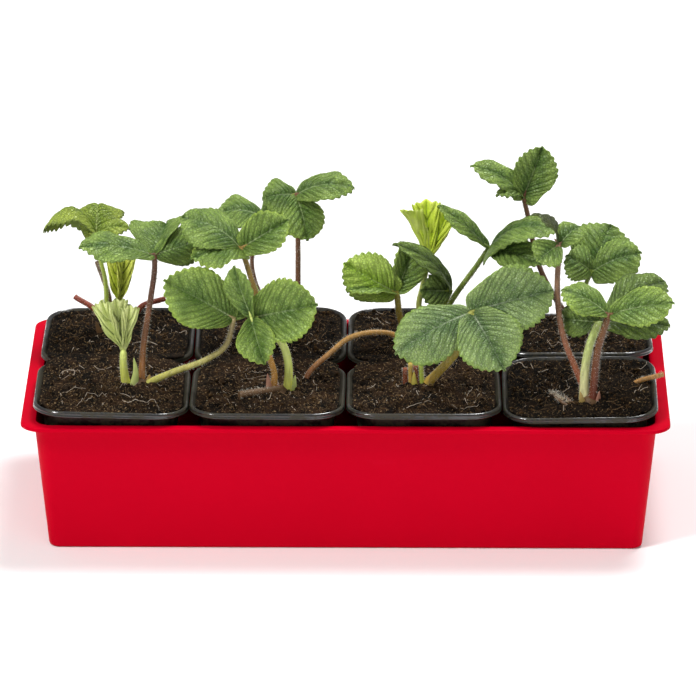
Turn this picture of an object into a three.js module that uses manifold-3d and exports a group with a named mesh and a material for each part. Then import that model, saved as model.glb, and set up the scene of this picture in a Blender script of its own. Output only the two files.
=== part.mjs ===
// Young strawberry plants in eight square nursery pots, which stand in two rows in one long red trough.
// Millimetres, +Z up, +X along the trough, +Y from the front row to the back row.
// The origin is the centre of the trough's flat underside.
import * as THREE from "three";
import { mergeVertices } from "three/addons/utils/BufferGeometryUtils.js";
import Module from "manifold-3d";

const wasm = await Module();
wasm.setup();

// Driving sizes of the trough.
const TROUGH = {
  length: 371, // over the rim
  depth: 184,
  height: 78,
  wall: 1.2,
  rimAtEnds: 7.5, // how far the rim stands out past the wall
  rimAtSides: 6,
  rimThick: 1.4,
  taper: 7.5, // how much each wall leans in from top to bottom
  rimCorner: 13,
  topCorner: 10,
  bottomCorner: 6,
};

// Driving sizes of one nursery pot.
const POT = {
  rim: 89, // across the rim
  height: 83.5,
  rimCorner: 19,
  lip: 3.2, // height of the rim's band
  bodyTop: 79.4,
  bodyBottom: 58,
  bodyCornerTop: 15,
  bodyCornerBottom: 10,
  wall: 1.1,
  lipInset: 2, // from the rim's outer face to its inner edge
  drainRadius: 6,
  pitch: 89.5, // from one pot to the next along both rows
};
const GAP = 0.3; // air between touching pieces

// Peat in a pot.
const PEAT = {
  below: 3, // how far the peat's edge lies under the rim
  bump: 1.3,
  heap: 1.7,
  mound: 0.8,
  moundReach: 24,
  holeDepth: 8,
  above: 2, // how far the peat may rise above a crown's level
};
// Peat that was spilled over the rims where the two rows meet.
const SPILL = { halfLength: 26, stations: 4, over: 2.2, depth: 6, slopeStart: 33, toMiddle: 44.3 };

// Leaf blades.
const BLADE = {
  thick: 0.75,
  stalk: 0.9, // half the width where a leaflet meets its stalk
  notch: 1.4,
  ripple: 0.5, // how far the side veins lie below the blade between them
  toothWidth: 4.8,
  collar: 3, // length of stalk that is one with the leaflets
  knot: 1.4, // radius of the collar where they meet
  peak: 0.57, // where along its length a leaflet is widest
  youngPeak: 0.72,
};

const CORNER_STEPS = 3;
const STEM_SIDES = 6;
const STEM_STEP = 12; // length of one straight piece of a bent stem
const CROWN_SIDES = 8;

// The eight pots. Each leans a little on the trough's floor: lean raises the back edge and sway
// the right edge, in degrees. The crown is where the plant leaves the peat, in millimetres from
// the trough's origin, and level is the height of the peat there.
const POTS = {
  a: { column: 0, row: 0, lean: -0.9, sway: -1.4, turn: 0.4, crown: [-119, -37], level: 84, spilled: true },
  b: { column: 1, row: 0, lean: -1.1, sway: 0, turn: -0.4, crown: [-36, -50], level: 84, spilled: true },
  c: { column: 2, row: 0, lean: -1.3, sway: 0, turn: 0.3, crown: [45, -39], level: 84, spilled: true },
  d: { column: 3, row: 0, lean: 3.2, sway: 1.2, turn: -0.3, crown: [140, -64], level: 84 },
  e: { column: 0, row: 1, lean: 0.7, sway: 0.5, turn: -0.4, crown: [-141, 50], level: 84, spilled: true },
  f: { column: 1, row: 1, lean: 1.5, sway: 0, turn: 0.3, crown: [-31, 50], level: 84, spilled: true },
  g: { column: 2, row: 1, lean: 1.2, sway: 0, turn: -0.3, crown: [42, 48], level: 84, spilled: true },
  h: { column: 3, row: 1, lean: -4.8, sway: 0, turn: 0.4, crown: [137, 48], level: 84 },
};

// The plants. Points are millimetres right, back and up from the plant's crown. A stalk ends where
// its leaflets meet. A leaflet has its tip, its width, the way its upper face looks, its fold
// along the midrib in degrees (margins up is positive) and the rise of its arch.
const PLANTS = {
  a: {
    crownRadius: 5.5,
    sheaths: [[[-3, -3, 0], [-2, -4, 10], [-3, -5, 19]], [[4, 1, 0], [6, 0, 7]]],
    leaves: [
      {
        name: "fan",
        young: true,
        stalk: [[-7, -1, 0], [-9, -3, 13], [-9, -4, 23]],
        radius: 2.5,
        leaflets: [
          { tip: [-21, -8, 55], width: 13, faces: [-0.4, -0.9, 0.2], fold: 8, arch: 0.5 },
          { tip: [-13, -5, 55], width: 14, faces: [0, -1, 0.2], fold: -4, arch: 0.5 },
          { tip: [-5, -4, 51], width: 12, faces: [0.4, -0.9, 0.2], fold: 8, arch: 0.5 },
        ],
      },
      {
        name: "tall",
        stalk: [[1, 0, 0], [2, 3, 21], [6, 7, 47], [9, 9, 68], [9, 9, 77]],
        radius: 1.9,
        leaflets: [
          { tip: [-34, 1, 84], width: 29, faces: [0, -0.3, 0.95], fold: -8, arch: 4 },
          { tip: [15, 35, 87], width: 38, faces: [-0.3, -0.4, 0.87], fold: 28, arch: 2 },
          { tip: [38, 13, 85], width: 31, faces: [0.1, -0.92, 0.36], fold: -40, arch: 4 },
        ],
      },
      {
        name: "reaching",
        stalk: [[4, 0, 0], [19, -5, 10], [38, -9, 19], [50, -9, 28], [55, -7, 44]],
        radius: 1.9,
        leaflets: [
          { tip: [15, -12, 69], width: 37, faces: [-0.1, -0.88, 0.45], fold: 14, arch: 3 },
          { tip: [64, 15, 59], width: 22, faces: [0.2, -0.8, 0.5], fold: -8, arch: 2 },
        ],
      },
    ],
  },
  b: {
    crownRadius: 6,
    sheaths: [[[5, 0, 0], [7, -1, 12]], [[-7, -1, 0], [-9, -1, 13]], [[-4, 3, 0], [-6, 3, 15]]],
    cutStems: [{ path: [[-1, -1, 2], [-12, -8, 4.4], [-25, -14, 4.6]], radius: 2.3 }],
    leaves: [
      {
        name: "broad",
        stalk: [[2, 0, 0], [3, 1, 18], [-1, 2, 31], [-11, 2, 40], [-18, -4, 48]],
        radius: 2.5,
        leaflets: [
          { tip: [20, -9, 58], width: 40, faces: [0.1, -0.92, 0.4], fold: 18, arch: 2 },
          { tip: [-10, -19, 25], width: 25, faces: [-0.15, -0.92, 0.35], fold: 22, arch: 3 },
          { tip: [-28, 0, 78], width: 19, faces: [-0.4, -0.85, 0.35], fold: 18, arch: 2 },
        ],
      },
      {
        name: "high",
        stalk: [[-6, 1, 0], [-5, 3, 10], [-9, 8, 24], [-13, 12, 47], [-18, 14, 64], [-24, 17, 83]],
        radius: 1.8,
        leaflets: [
          { tip: [-59, 26, 98], width: 34, faces: [0.1, -0.45, 0.9], fold: -14, arch: 7 },
          { tip: [-53, 6, 80], width: 25, faces: [-0.05, -0.5, 0.85], fold: -18, arch: 4 },
          { tip: [3, 20, 99], width: 26, faces: [0.1, -0.85, 0.5], fold: 16, arch: 2 },
        ],
      },
    ],
  },
  c: {
    crownRadius: 6.5,
    sheaths: [[[-6, -2, 0], [-8, -2, 11]], [[-3, -4, 0], [-3, -5, 12]], [[3, -4, 0], [5, -5, 11]]],
    leaves: [
      {
        name: "broad",
        stalk: [[0, -1, 0], [8, -4, 11], [19, -8, 26], [27, -9, 50]],
        radius: 2.6,
        leaflets: [
          { tip: [-17, -25, 30], width: 38, faces: [-0.1, -0.78, 0.62], fold: -16, arch: 6 },
          { tip: [74, -3, 61], width: 40, faces: [0, -0.85, 0.5], fold: 13, arch: 3 },
          { tip: [46, -31, 22], width: 41, faces: [0.05, -0.88, 0.5], fold: 14, arch: 4 },
        ],
      },
    ],
  },
  d: {
    crownRadius: 6,
    sheaths: [[[-4, -3, 0], [-6, -4, 9]], [[4, -2, 0], [5, -3, 9]]],
    leaves: [
      {
        name: "high",
        stalk: [[-1, 1, 0], [-6, 6, 13], [-14, 14, 31], [-17, 18, 41], [-19, 24, 60], [-18, 30, 86]],
        radius: 1.9,
        leaflets: [
          { tip: [-31, 20, 79], width: 22, faces: [-0.1, -0.75, 0.65], fold: -8, arch: 2 },
          { tip: [-32, 43, 101], width: 22, faces: [0.55, 0.1, 0.8], fold: -10, arch: 5 },
          { tip: [-6, 39, 94], width: 18, faces: [0, -0.55, 0.8], fold: -10, arch: 3 },
        ],
      },
      {
        name: "bright",
        stalk: [[1, -1, 0], [2, 0, 13], [4, 2, 32], [10, 4, 53]],
        radius: 2.3,
        leaflets: [
          { tip: [-17, 10, 66], width: 24, faces: [0, -0.5, 0.86], fold: -14, arch: 4 },
          { tip: [47, -1, 62], width: 27, faces: [0.05, -0.66, 0.75], fold: -8, arch: 3 },
          { tip: [43, 25, 66], width: 30, faces: [-0.05, -0.55, 0.8], fold: -6, arch: 5 },
        ],
      },
      {
        name: "low",
        stalk: [[-3, 2, 0], [-3, 6, 19], [0, 11, 33], [5, 18, 43]],
        radius: 2.8,
        leaflets: [
          { tip: [-18, 27, 42], width: 21, faces: [-0.1, -0.93, 0.35], fold: -6, arch: 2 },
          { tip: [46, 20, 40], width: 24, faces: [0.05, -0.6, 0.78], fold: -6, arch: 3 },
        ],
      },
    ],
  },
  e: {
    crownRadius: 6,
    sheaths: [[[-4, -3, 0], [-7, -4, 9]]],
    cutStems: [{ path: [[0, 2, 0], [1, 2, 20], [-6, 2, 44]], radius: 1.6 }],
    leaves: [
      {
        name: "umbrella",
        stalk: [[-1, 0, 0], [-1, -2, 33], [-4, -3, 48], [-6, -2, 63]],
        radius: 1.4,
        leaflets: [
          { tip: [-37, -4, 66], width: 32, faces: [0, 0.5, 0.86], fold: -46, arch: 15 },
          { tip: [-5, 23, 68], width: 35, faces: [0, -0.1, 1], fold: -26, arch: 12 },
          { tip: [14, -5, 67], width: 16, faces: [0, -0.4, 0.9], fold: -20, arch: 4 },
        ],
      },
      {
        name: "bud",
        young: true,
        stalk: [[5, -1, 0], [6, -2, 11], [7, -2, 21]],
        radius: 1.8,
        leaflets: [
          { tip: [10, -3, 51], width: 14, faces: [0.35, -0.93, 0.1], fold: 24, arch: 2 },
          { tip: [6, -1, 48], width: 12, faces: [-0.4, -0.9, 0.1], fold: 24, arch: 2 },
        ],
      },
    ],
  },
  f: {
    crownRadius: 5.5,
    sheaths: [[[-4, -3, 0], [-6, -3, 9]]],
    leaves: [
      {
        name: "high",
        stalk: [[2, 0, 0], [2, 0, 27], [2, 0, 61], [1, 0, 87]],
        radius: 1.7,
        leaflets: [
          { tip: [35, -4, 93], width: 24, faces: [0, -0.5, 0.86], fold: -14, arch: 6 },
          { tip: [8, -14, 63], width: 28, faces: [0.3, -0.85, 0.45], fold: -10, arch: 3 },
          { tip: [-19, 0, 84], width: 25, faces: [-0.1, -0.72, 0.7], fold: -16, arch: 3 },
        ],
      },
      {
        name: "back",
        stalk: [[-3, 2, 0], [-20, 1, 24], [-25, 0, 46], [-18, 0, 73]],
        radius: 1.4,
        leaflets: [
          { tip: [-46, 0, 75], width: 28, faces: [0, -0.45, 0.9], fold: -14, arch: 5 },
          { tip: [-3, 12, 80], width: 20, faces: [0.1, -0.6, 0.8], fold: -6, arch: 3 },
        ],
      },
    ],
  },
  g: {
    crownRadius: 6.5,
    sheaths: [[[-4, -4, 0], [-6, -5, 10]]],
    leaves: [
      {
        name: "pale",
        stalk: [[-6, -5, 0], [-11, -11, 15], [-13, -15, 32]],
        radius: 2.1,
        leaflets: [
          { tip: [-44, -20, 52], width: 31, faces: [-0.35, -0.85, 0.4], fold: -8, arch: 3 },
          { tip: [-3, -1, 57], width: 25, faces: [0.45, -0.85, 0.3], fold: 20, arch: 1 },
          { tip: [-42, -26, 37], width: 17, faces: [0, -0.1, 1], fold: -6, arch: 3 },
        ],
      },
      {
        name: "fan",
        young: true,
        stalk: [[2, 2, 0], [0, 3, 18], [2, 2, 29], [6, 2, 48]],
        radius: 1.8,
        leaflets: [
          { tip: [-7, -3, 79], width: 17, faces: [0.45, 0.8, 0.3], fold: 14, arch: 1 },
          { tip: [4, 5, 83], width: 18, faces: [0, -1, 0.1], fold: 16, arch: 1 },
          { tip: [17, 2, 77], width: 17, faces: [-0.4, -0.88, 0.15], fold: 12, arch: 1 },
        ],
      },
      {
        name: "wide",
        stalk: [[7, 4, 0], [23, 2, 27], [33, -2, 43], [41, -6, 57]],
        radius: 1.8,
        leaflets: [
          { tip: [11, -3, 82], width: 17, faces: [0.3, -0.3, 0.9], fold: -10, arch: 2 },
          { tip: [81, -18, 72], width: 32, faces: [-0.05, -0.2, 0.97], fold: -14, arch: 9 },
          { tip: [71, -27, 54], width: 24, faces: [0.05, -0.6, 0.8], fold: -6, arch: 3 },
        ],
      },
      {
        name: "arching",
        stalk: [[5, -3, 0], [13, -4, 17], [19, -6, 30]],
        radius: 1.4,
        leaflets: [
          { tip: [-15, -20, 64], width: 16, faces: [0.3, -0.45, 0.85], fold: -8, arch: 8 },
          { tip: [1, -14, 33], width: 21, faces: [0, -0.95, 0.3], fold: -5, arch: 1 },
        ],
      },
    ],
  },
  h: {
    crownRadius: 5.5,
    sheaths: [[[-4, -3, 0], [-6, -4, 9]]],
    leaves: [
      {
        name: "top",
        stalk: [[-2, 0, 0], [-8, 2, 12], [-16, 4, 24], [-25, 6, 43], [-31, 6, 71], [-34, 6, 84]],
        radius: 1.7,
        leaflets: [
          { tip: [-23, 10, 114], width: 29, faces: [0.25, -0.9, 0.3], fold: 20, arch: 1 },
          { tip: [-65, 2, 105], width: 20, faces: [0.1, -0.45, 0.87], fold: -10, arch: 6 },
          { tip: [-50, -8, 90], width: 13, faces: [0, -0.35, 0.94], fold: -16, arch: 4 },
        ],
      },
      {
        name: "round",
        stalk: [[5, -2, 0], [3, -4, 24], [3, -6, 35], [6, -8, 43]],
        radius: 1.5,
        leaflets: [
          { tip: [35, -11, 56], width: 30, faces: [0.1, -0.7, 0.7], fold: -14, arch: 5 },
          { tip: [18, 7, 67], width: 42, faces: [0, -0.7, 0.7], fold: -10, arch: 4 },
          { tip: [-9, -11, 54], width: 25, faces: [-0.1, -0.75, 0.66], fold: -14, arch: 3 },
        ],
      },
    ],
  },
};

// Cut stems and a runner that leave the peat by themselves, in millimetres from the origin.
const LOOSE_STEMS = {
  cut_stem_left: { path: [[-149, 76, 80], [-149, 76, 88], [-162, 80, 96]], radius: 1.7 },
  cut_stem_right: { path: [[-126, 78, 80], [-123, 78, 90], [-108, 80, 95]], radius: 1.7 },
  cut_stem_edge: { path: [[160, -41, 80], [166, -39, 87], [183, -37, 92]], radius: 1.5 },
  runner: {
    path: [
      [-25, -30, 79],
      [-22, -28, 88],
      [-9, -22, 99],
      [2, -16, 106],
      [17, -12, 108],
      [30, -9, 104],
      [36, -12, 94],
      [38, -13, 80],
    ],
    radius: 1.6,
  },
};

// Geometry helpers.
const vec = (values) => new THREE.Vector3(...values);
const lerp = THREE.MathUtils.lerp;
const rad = THREE.MathUtils.degToRad;

// A rounded rectangle as a ring of points, the same number whatever its size.
function roundedRing(halfX, halfY, corner, z) {
  const points = [];
  for (let quarter = 0; quarter < 4; quarter++) {
    const signX = quarter === 0 || quarter === 3 ? 1 : -1;
    const signY = quarter < 2 ? 1 : -1;
    for (let step = 0; step <= CORNER_STEPS; step++) {
      const angle = ((quarter + step / CORNER_STEPS) * Math.PI) / 2;
      const x = signX * (halfX - corner) + corner * Math.cos(angle);
      const y = signY * (halfY - corner) + corner * Math.sin(angle);
      points.push(new THREE.Vector3(x, y, z));
    }
  }
  return points;
}

// A closed solid through rings of equal length, with a fan over each end round its middle point.
function loft(rings, middles = []) {
  const count = rings[0].length;
  const points = rings.flat();
  const faces = [];
  for (let level = 0; level + 1 < rings.length; level++) {
    for (let i = 0; i < count; i++) {
      const a = level * count + i;
      const b = level * count + ((i + 1) % count);
      faces.push(a, b, b + count, a, b + count, a + count);
    }
  }
  const middleOf = (ring) => ring.reduce((sum, p) => sum.add(p), new THREE.Vector3()).divideScalar(count);
  const last = (rings.length - 1) * count;
  points.push(middles[0] ?? middleOf(rings[0]), middles[1] ?? middleOf(rings.at(-1)));
  for (let i = 0; i < count; i++) {
    const next = (i + 1) % count;
    faces.push(points.length - 2, next, i, points.length - 1, last + i, last + next);
  }
  return new THREE.BufferGeometry().setFromPoints(points).setIndex(faces);
}

// A bent round stem.
function tube(path, radius, sides = STEM_SIDES) {
  const curve = new THREE.CatmullRomCurve3(path.map(vec), false, "centripetal");
  const outline = [];
  for (let i = 0; i < sides; i++) {
    const angle = (2 * Math.PI * i) / sides;
    outline.push(new THREE.Vector2(radius * Math.cos(angle), radius * Math.sin(angle)));
  }
  const steps = Math.max(1, Math.round(curve.getLength() / STEM_STEP));
  const options = { steps, extrudePath: curve, bevelEnabled: false };
  return new THREE.ExtrudeGeometry(new THREE.Shape(outline), options);
}

// A straight tapered rod from one point to another.
function rod(from, to, radiusFrom, radiusTo, sides) {
  const along = to.clone().sub(from);
  const geometry = new THREE.CylinderGeometry(radiusTo, radiusFrom, along.length(), sides);
  const turn = new THREE.Quaternion().setFromUnitVectors(new THREE.Vector3(0, 1, 0), along.normalize());
  const middle = from.clone().lerp(to, 0.5);
  return geometry.applyQuaternion(turn).translate(middle.x, middle.y, middle.z);
}

// An upright round stub.
function upright(radiusTop, radiusBottom, low, high, x, y) {
  const geometry = new THREE.CylinderGeometry(radiusTop, radiusBottom, high - low, CROWN_SIDES);
  return geometry.rotateX(Math.PI / 2).translate(x, y, (low + high) / 2);
}

// Half the width of a leaflet at a share of its length, as a share of its greatest half width:
// a straight wedge from the stalk, widest at the peak past the middle, then a blunt round end.
function leafletOutline(share, peak) {
  const bulge = Math.sin(Math.PI * share ** (Math.log(0.5) / Math.log(peak)));
  return share < peak ? bulge : bulge ** 0.62;
}

// One leaflet: a toothed, arched and folded blade of even thickness. In its own frame it runs
// along +Y from the stalk to the tip and its upper face looks along +Z. Each tooth is two rows:
// its point, where a side vein ends, and the notch before the next one.
function leafletGeometry(length, shape, peak) {
  const teeth = THREE.MathUtils.clamp(Math.round(shape.width / BLADE.toothWidth), 4, 6);
  const rows = 2 * teeth;
  const fold = rad(shape.fold);
  const half = BLADE.thick / 2;
  const points = [];
  for (let row = 0; row <= rows; row++) {
    const t = row / rows;
    const share = 1 - (1 - t) ** 1.3;
    const notch = row % 2 === 0 && row > 2 && row < rows;
    const cut = notch ? BLADE.notch : 0;
    const across = Math.max(BLADE.stalk, (shape.width / 2) * leafletOutline(share, peak) - cut);
    const along = length * share - cut / 2;
    const vein = length * lerp(t ** 1.8, 1, t ** 12);
    const rise = (y) => 4 * shape.arch * (y / length) * (1 - y / length);
    const edge = across * Math.sin(fold) + rise(along) + (notch ? BLADE.ripple : -BLADE.ripple);
    const x = across * Math.cos(fold);
    const middle = rise(vein);
    points.push([-x, along, edge + half], [0, vein, middle + half], [x, along, edge + half]);
    points.push([x, along, edge - half], [0, vein, middle - half], [-x, along, edge - half]);
  }
  const around = 6;
  const faces = [];
  const quad = (a, b, c, d) => faces.push(a, b, c, a, c, d);
  for (let row = 0; row < rows; row++) {
    const here = row * around;
    const next = here + around;
    quad(here, here + 1, next + 1, next);
    faces.push(here + 1, here + 2, next + 1, here + 2, next + 2, next + 1);
    quad(here + 2, here + 3, next + 3, next + 2);
    faces.push(here + 3, here + 4, next + 4, here + 3, next + 4, next + 3);
    faces.push(here + 4, here + 5, next + 5, here + 4, next + 5, next + 4);
    quad(here + 5, here, next, next + 5);
  }
  const end = rows * around;
  faces.push(0, 4, 1, 0, 5, 4, 1, 4, 2, 2, 4, 3);
  faces.push(end, end + 1, end + 4, end, end + 4, end + 5);
  faces.push(end + 1, end + 2, end + 4, end + 2, end + 3, end + 4);
  return new THREE.BufferGeometry().setFromPoints(points.map(vec)).setIndex(faces);
}

// A leaflet placed from the leaf's hub to its tip.
function placedLeaflet(hub, shape, peak) {
  const along = vec(shape.tip).sub(hub);
  const length = along.length();
  along.normalize();
  const face = vec(shape.faces);
  face.addScaledVector(along, -face.dot(along)).normalize();
  const side = new THREE.Vector3().crossVectors(along, face);
  const place = new THREE.Matrix4().makeBasis(side, along, face).setPosition(hub);
  return leafletGeometry(length, shape, peak).applyMatrix4(place);
}

// Solids for joining and cutting.
function solidOf(geometry) {
  const bare = geometry.clone();
  bare.deleteAttribute("normal");
  bare.deleteAttribute("uv");
  const merged = mergeVertices(bare, 1e-3);
  return new wasm.Manifold(
    new wasm.Mesh({
      numProp: 3,
      vertProperties: new Float32Array(merged.attributes.position.array),
      triVerts: new Uint32Array(merged.index.array),
    }),
  );
}
const join = (geometries) => geometries.map(solidOf).reduce((whole, solid) => whole.add(solid));

function meshOf(name, solid, material) {
  const cut = solid.getMesh();
  const geometry = new THREE.BufferGeometry();
  geometry.setAttribute("position", new THREE.BufferAttribute(cut.vertProperties, 3));
  geometry.setIndex(new THREE.BufferAttribute(cut.triVerts, 1));
  geometry.computeVertexNormals();
  const mesh = new THREE.Mesh(geometry, material);
  mesh.name = name;
  return mesh;
}

// Materials.
const plastic = (color, roughness) => new THREE.MeshStandardMaterial({ color, roughness, metalness: 0 });
const MATERIALS = {
  redPlastic: plastic(0xc8051d, 0.42),
  blackPlastic: plastic(0x1d1d1f, 0.35),
  peat: plastic(0x2c1d14, 0.95),
  leaf: plastic(0x5f8f45, 0.6),
  paleLeaf: plastic(0x9dbb4a, 0.6),
  stem: plastic(0x8a6a3f, 0.6),
  cutStem: plastic(0x9a4a30, 0.6),
};
const PALE_LEAVES = ["a_fan", "e_bud", "e_umbrella", "g_fan", "g_pale"];

// The trough: a tapered box with a flat rim all round, in one thin wall.
function trough() {
  const halfX = TROUGH.length / 2;
  const halfY = TROUGH.depth / 2;
  const outerX = halfX - TROUGH.rimAtEnds;
  const outerY = halfY - TROUGH.rimAtSides;
  const floor = TROUGH.wall;
  const top = TROUGH.height;
  const under = top - TROUGH.rimThick;
  const wallRing = (inset, z) => {
    const lean = TROUGH.taper * (1 - z / top) + inset;
    const corner = lerp(TROUGH.bottomCorner, TROUGH.topCorner, z / top) - inset / 2;
    return roundedRing(outerX - lean, outerY - lean, corner, z);
  };
  const edge = 1; // small round along the bottom edge
  const bottomInset = TROUGH.taper + edge;
  return loft([
    roundedRing(outerX - bottomInset, outerY - bottomInset, TROUGH.bottomCorner - edge, 0),
    wallRing(0, edge),
    wallRing(0, under),
    roundedRing(halfX, halfY, TROUGH.rimCorner, under - 0.8),
    roundedRing(halfX, halfY, TROUGH.rimCorner, top - 0.4),
    roundedRing(halfX - 0.6, halfY - 0.6, TROUGH.rimCorner - 0.6, top),
    wallRing(TROUGH.wall, top),
    wallRing(TROUGH.wall, floor),
  ]);
}

// A nursery pot in its own frame: its underside's centre is the origin.
function potHalf(z) {
  return lerp(POT.bodyBottom, POT.bodyTop, z / POT.height) / 2;
}
function potCorner(z) {
  return lerp(POT.bodyCornerBottom, POT.bodyCornerTop, z / POT.height);
}
function potRing(inset, z) {
  const half = potHalf(z) - inset;
  return roundedRing(half, half, potCorner(z) - inset, z);
}
function pot() {
  const top = POT.height;
  const under = top - POT.lip;
  const half = POT.rim / 2;
  const bead = 0.5;
  const rimRing = (inset, z) => roundedRing(half - inset, half - inset, POT.rimCorner - inset, z);
  const shell = loft([
    potRing(0, 0),
    potRing(0, under),
    rimRing(0, under),
    rimRing(0, top - bead),
    rimRing(bead, top),
    rimRing(POT.lipInset, top),
    potRing(POT.wall, under),
    potRing(POT.wall, POT.wall),
  ]);
  return solidOf(shell).subtract(solidOf(upright(POT.drainRadius, POT.drainRadius, -1, 2 * POT.wall, 0, 0)));
}

// Peat: it fits inside the pot, its top is rough and heaped round the crown.
function peatBump(x, y, key) {
  const phase = key.charCodeAt(0) * 1.7;
  const alongX = Math.sin(x * 0.31 + phase);
  const alongY = Math.sin(y * 0.27 - 2 * phase);
  const across = Math.sin((x + y) * 0.19 + 3 * phase);
  return (PEAT.bump * (alongX + alongY + across)) / 3;
}
function peat(key, crownLocal) {
  const edgeZ = POT.height - PEAT.below;
  const under = POT.height - POT.lip;
  const inset = POT.wall + GAP;
  const rise = (edgeZ - under) / POT.lip;
  const half = lerp(potHalf(under) - POT.wall, POT.rim / 2 - POT.lipInset, rise) - GAP;
  const corner = lerp(potCorner(under) - POT.wall, POT.rimCorner - POT.lipInset, rise);
  const topOfPeat = (x, y, share) => {
    const away = Math.hypot(x - crownLocal.x, y - crownLocal.y);
    const mound = PEAT.mound * Math.exp(-((away / PEAT.moundReach) ** 2));
    return edgeZ + (1 - share ** 3) * (PEAT.heap + peatBump(x, y, key)) + mound;
  };
  const rings = [potRing(inset, POT.wall + GAP), potRing(inset, under)];
  for (const share of [1, 0.75, 0.4]) {
    const ring = roundedRing(half * share, half * share, corner * share, 0);
    rings.push(ring.map((p) => p.setZ(topOfPeat(p.x, p.y, share))));
  }
  return loft(rings, [null, new THREE.Vector3(0, 0, topOfPeat(0, 0, 0))]);
}

// The spill's half on one pot: a lumpy ridge that grows from the peat and lies over the rim.
// side is 1 for the pot's back rim and -1 for its front rim.
function spill(key, side) {
  const top = POT.height + GAP;
  const wallFace = potHalf(POT.height - SPILL.depth) - POT.wall - 3 * GAP;
  const rings = [];
  for (let station = 0; station <= SPILL.stations; station++) {
    const share = station / SPILL.stations;
    const x = lerp(-SPILL.halfLength, SPILL.halfLength, share);
    const lump = Math.sin(5 * share + key.charCodeAt(0)) * 0.5;
    const height = SPILL.over * (0.4 + 0.6 * Math.sin(Math.PI * share)) + lump;
    const section = [
      [SPILL.slopeStart, top - SPILL.depth],
      [wallFace, top - SPILL.depth],
      [wallFace, top],
      [SPILL.toMiddle, top],
      [SPILL.toMiddle, top + height],
      [SPILL.slopeStart + 4, top + height],
    ];
    const ring = section.map(([y, z]) => new THREE.Vector3(x, side * y, z));
    rings.push(side > 0 ? ring : ring.reverse());
  }
  const inside = (x) => new THREE.Vector3(x, side * (SPILL.slopeStart + 2), top + 0.2);
  return loft(rings, [inside(-SPILL.halfLength), inside(SPILL.halfLength)]);
}

// Where a pot stands: it turns and leans about its rim's centre, then rests on the trough's floor.
function potPlace(shape, lowestPoint) {
  const turn = new THREE.Euler(rad(shape.lean), rad(-shape.sway), rad(shape.turn), "ZXY");
  const matrix = new THREE.Matrix4().makeRotationFromEuler(turn);
  const rimCentre = new THREE.Vector3(0, 0, POT.height).applyMatrix4(matrix);
  const low = Math.min(...lowestPoint.map((p) => p.clone().applyMatrix4(matrix).z));
  const x = (shape.column - 1.5) * POT.pitch - rimCentre.x;
  const y = (shape.row - 0.5) * POT.pitch - rimCentre.y;
  return { rotation: turn, position: new THREE.Vector3(x, y, TROUGH.wall + GAP - low) };
}

// The point on a stalk that lies a way before the point where its leaflets meet.
function beforeHub(leaf, away) {
  const hub = vec(leaf.stalk.at(-1));
  return vec(leaf.stalk.at(-2)).sub(hub).normalize().multiplyScalar(away).add(hub);
}

// Where a stalk grows from the crown, below the peat.
const rootOf = (start) => [start[0] * 0.4, start[1] * 0.4, -5];

// The radius of the plain hole that a crown and its stalks stand in.
function holeRadius(plant) {
  const reach = plant.leaves.map((leaf) => {
    const surface = vec(leaf.stalk[0]).lerp(vec(leaf.stalk[1]), PEAT.above / leaf.stalk[1][2]);
    return Math.hypot(surface.x, surface.y) + leaf.radius;
  });
  return Math.max(plant.crownRadius, ...reach) + 2 * GAP;
}

// A plant's stems and crown in one piece, without its blades.
function stems(key, plant) {
  const crown = upright(plant.crownRadius * 0.55, plant.crownRadius, -PEAT.holeDepth + GAP, 6, 0, 0);
  const parts = [crown];
  for (const leaf of plant.leaves) {
    const end = beforeHub(leaf, BLADE.collar + GAP).toArray();
    parts.push(tube([rootOf(leaf.stalk[0]), ...leaf.stalk.slice(0, -1), end], leaf.radius));
  }
  for (const cut of plant.cutStems ?? []) {
    parts.push(tube([rootOf(cut.path[0]), ...cut.path], cut.radius));
  }
  for (const sheath of plant.sheaths) {
    parts.push(rod(vec(rootOf(sheath[0])), vec(sheath.at(-1)), 2.2, 0, 4));
  }
  return join(parts);
}

// A leaf: its leaflets and the collar that they grow from.
function blades(leaf) {
  const hub = vec(leaf.stalk.at(-1));
  const past = beforeHub(leaf, -BLADE.knot / 2);
  const collar = rod(beforeHub(leaf, BLADE.collar), past, leaf.radius, BLADE.knot, 5);
  const peak = leaf.young ? BLADE.youngPeak : BLADE.peak;
  return join([collar, ...leaf.leaflets.map((shape) => placedLeaflet(hub, shape, peak))]);
}

// Assembly.
const planter = new THREE.Group();
planter.add(meshOf("trough", solidOf(trough()), MATERIALS.redPlastic));

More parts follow.
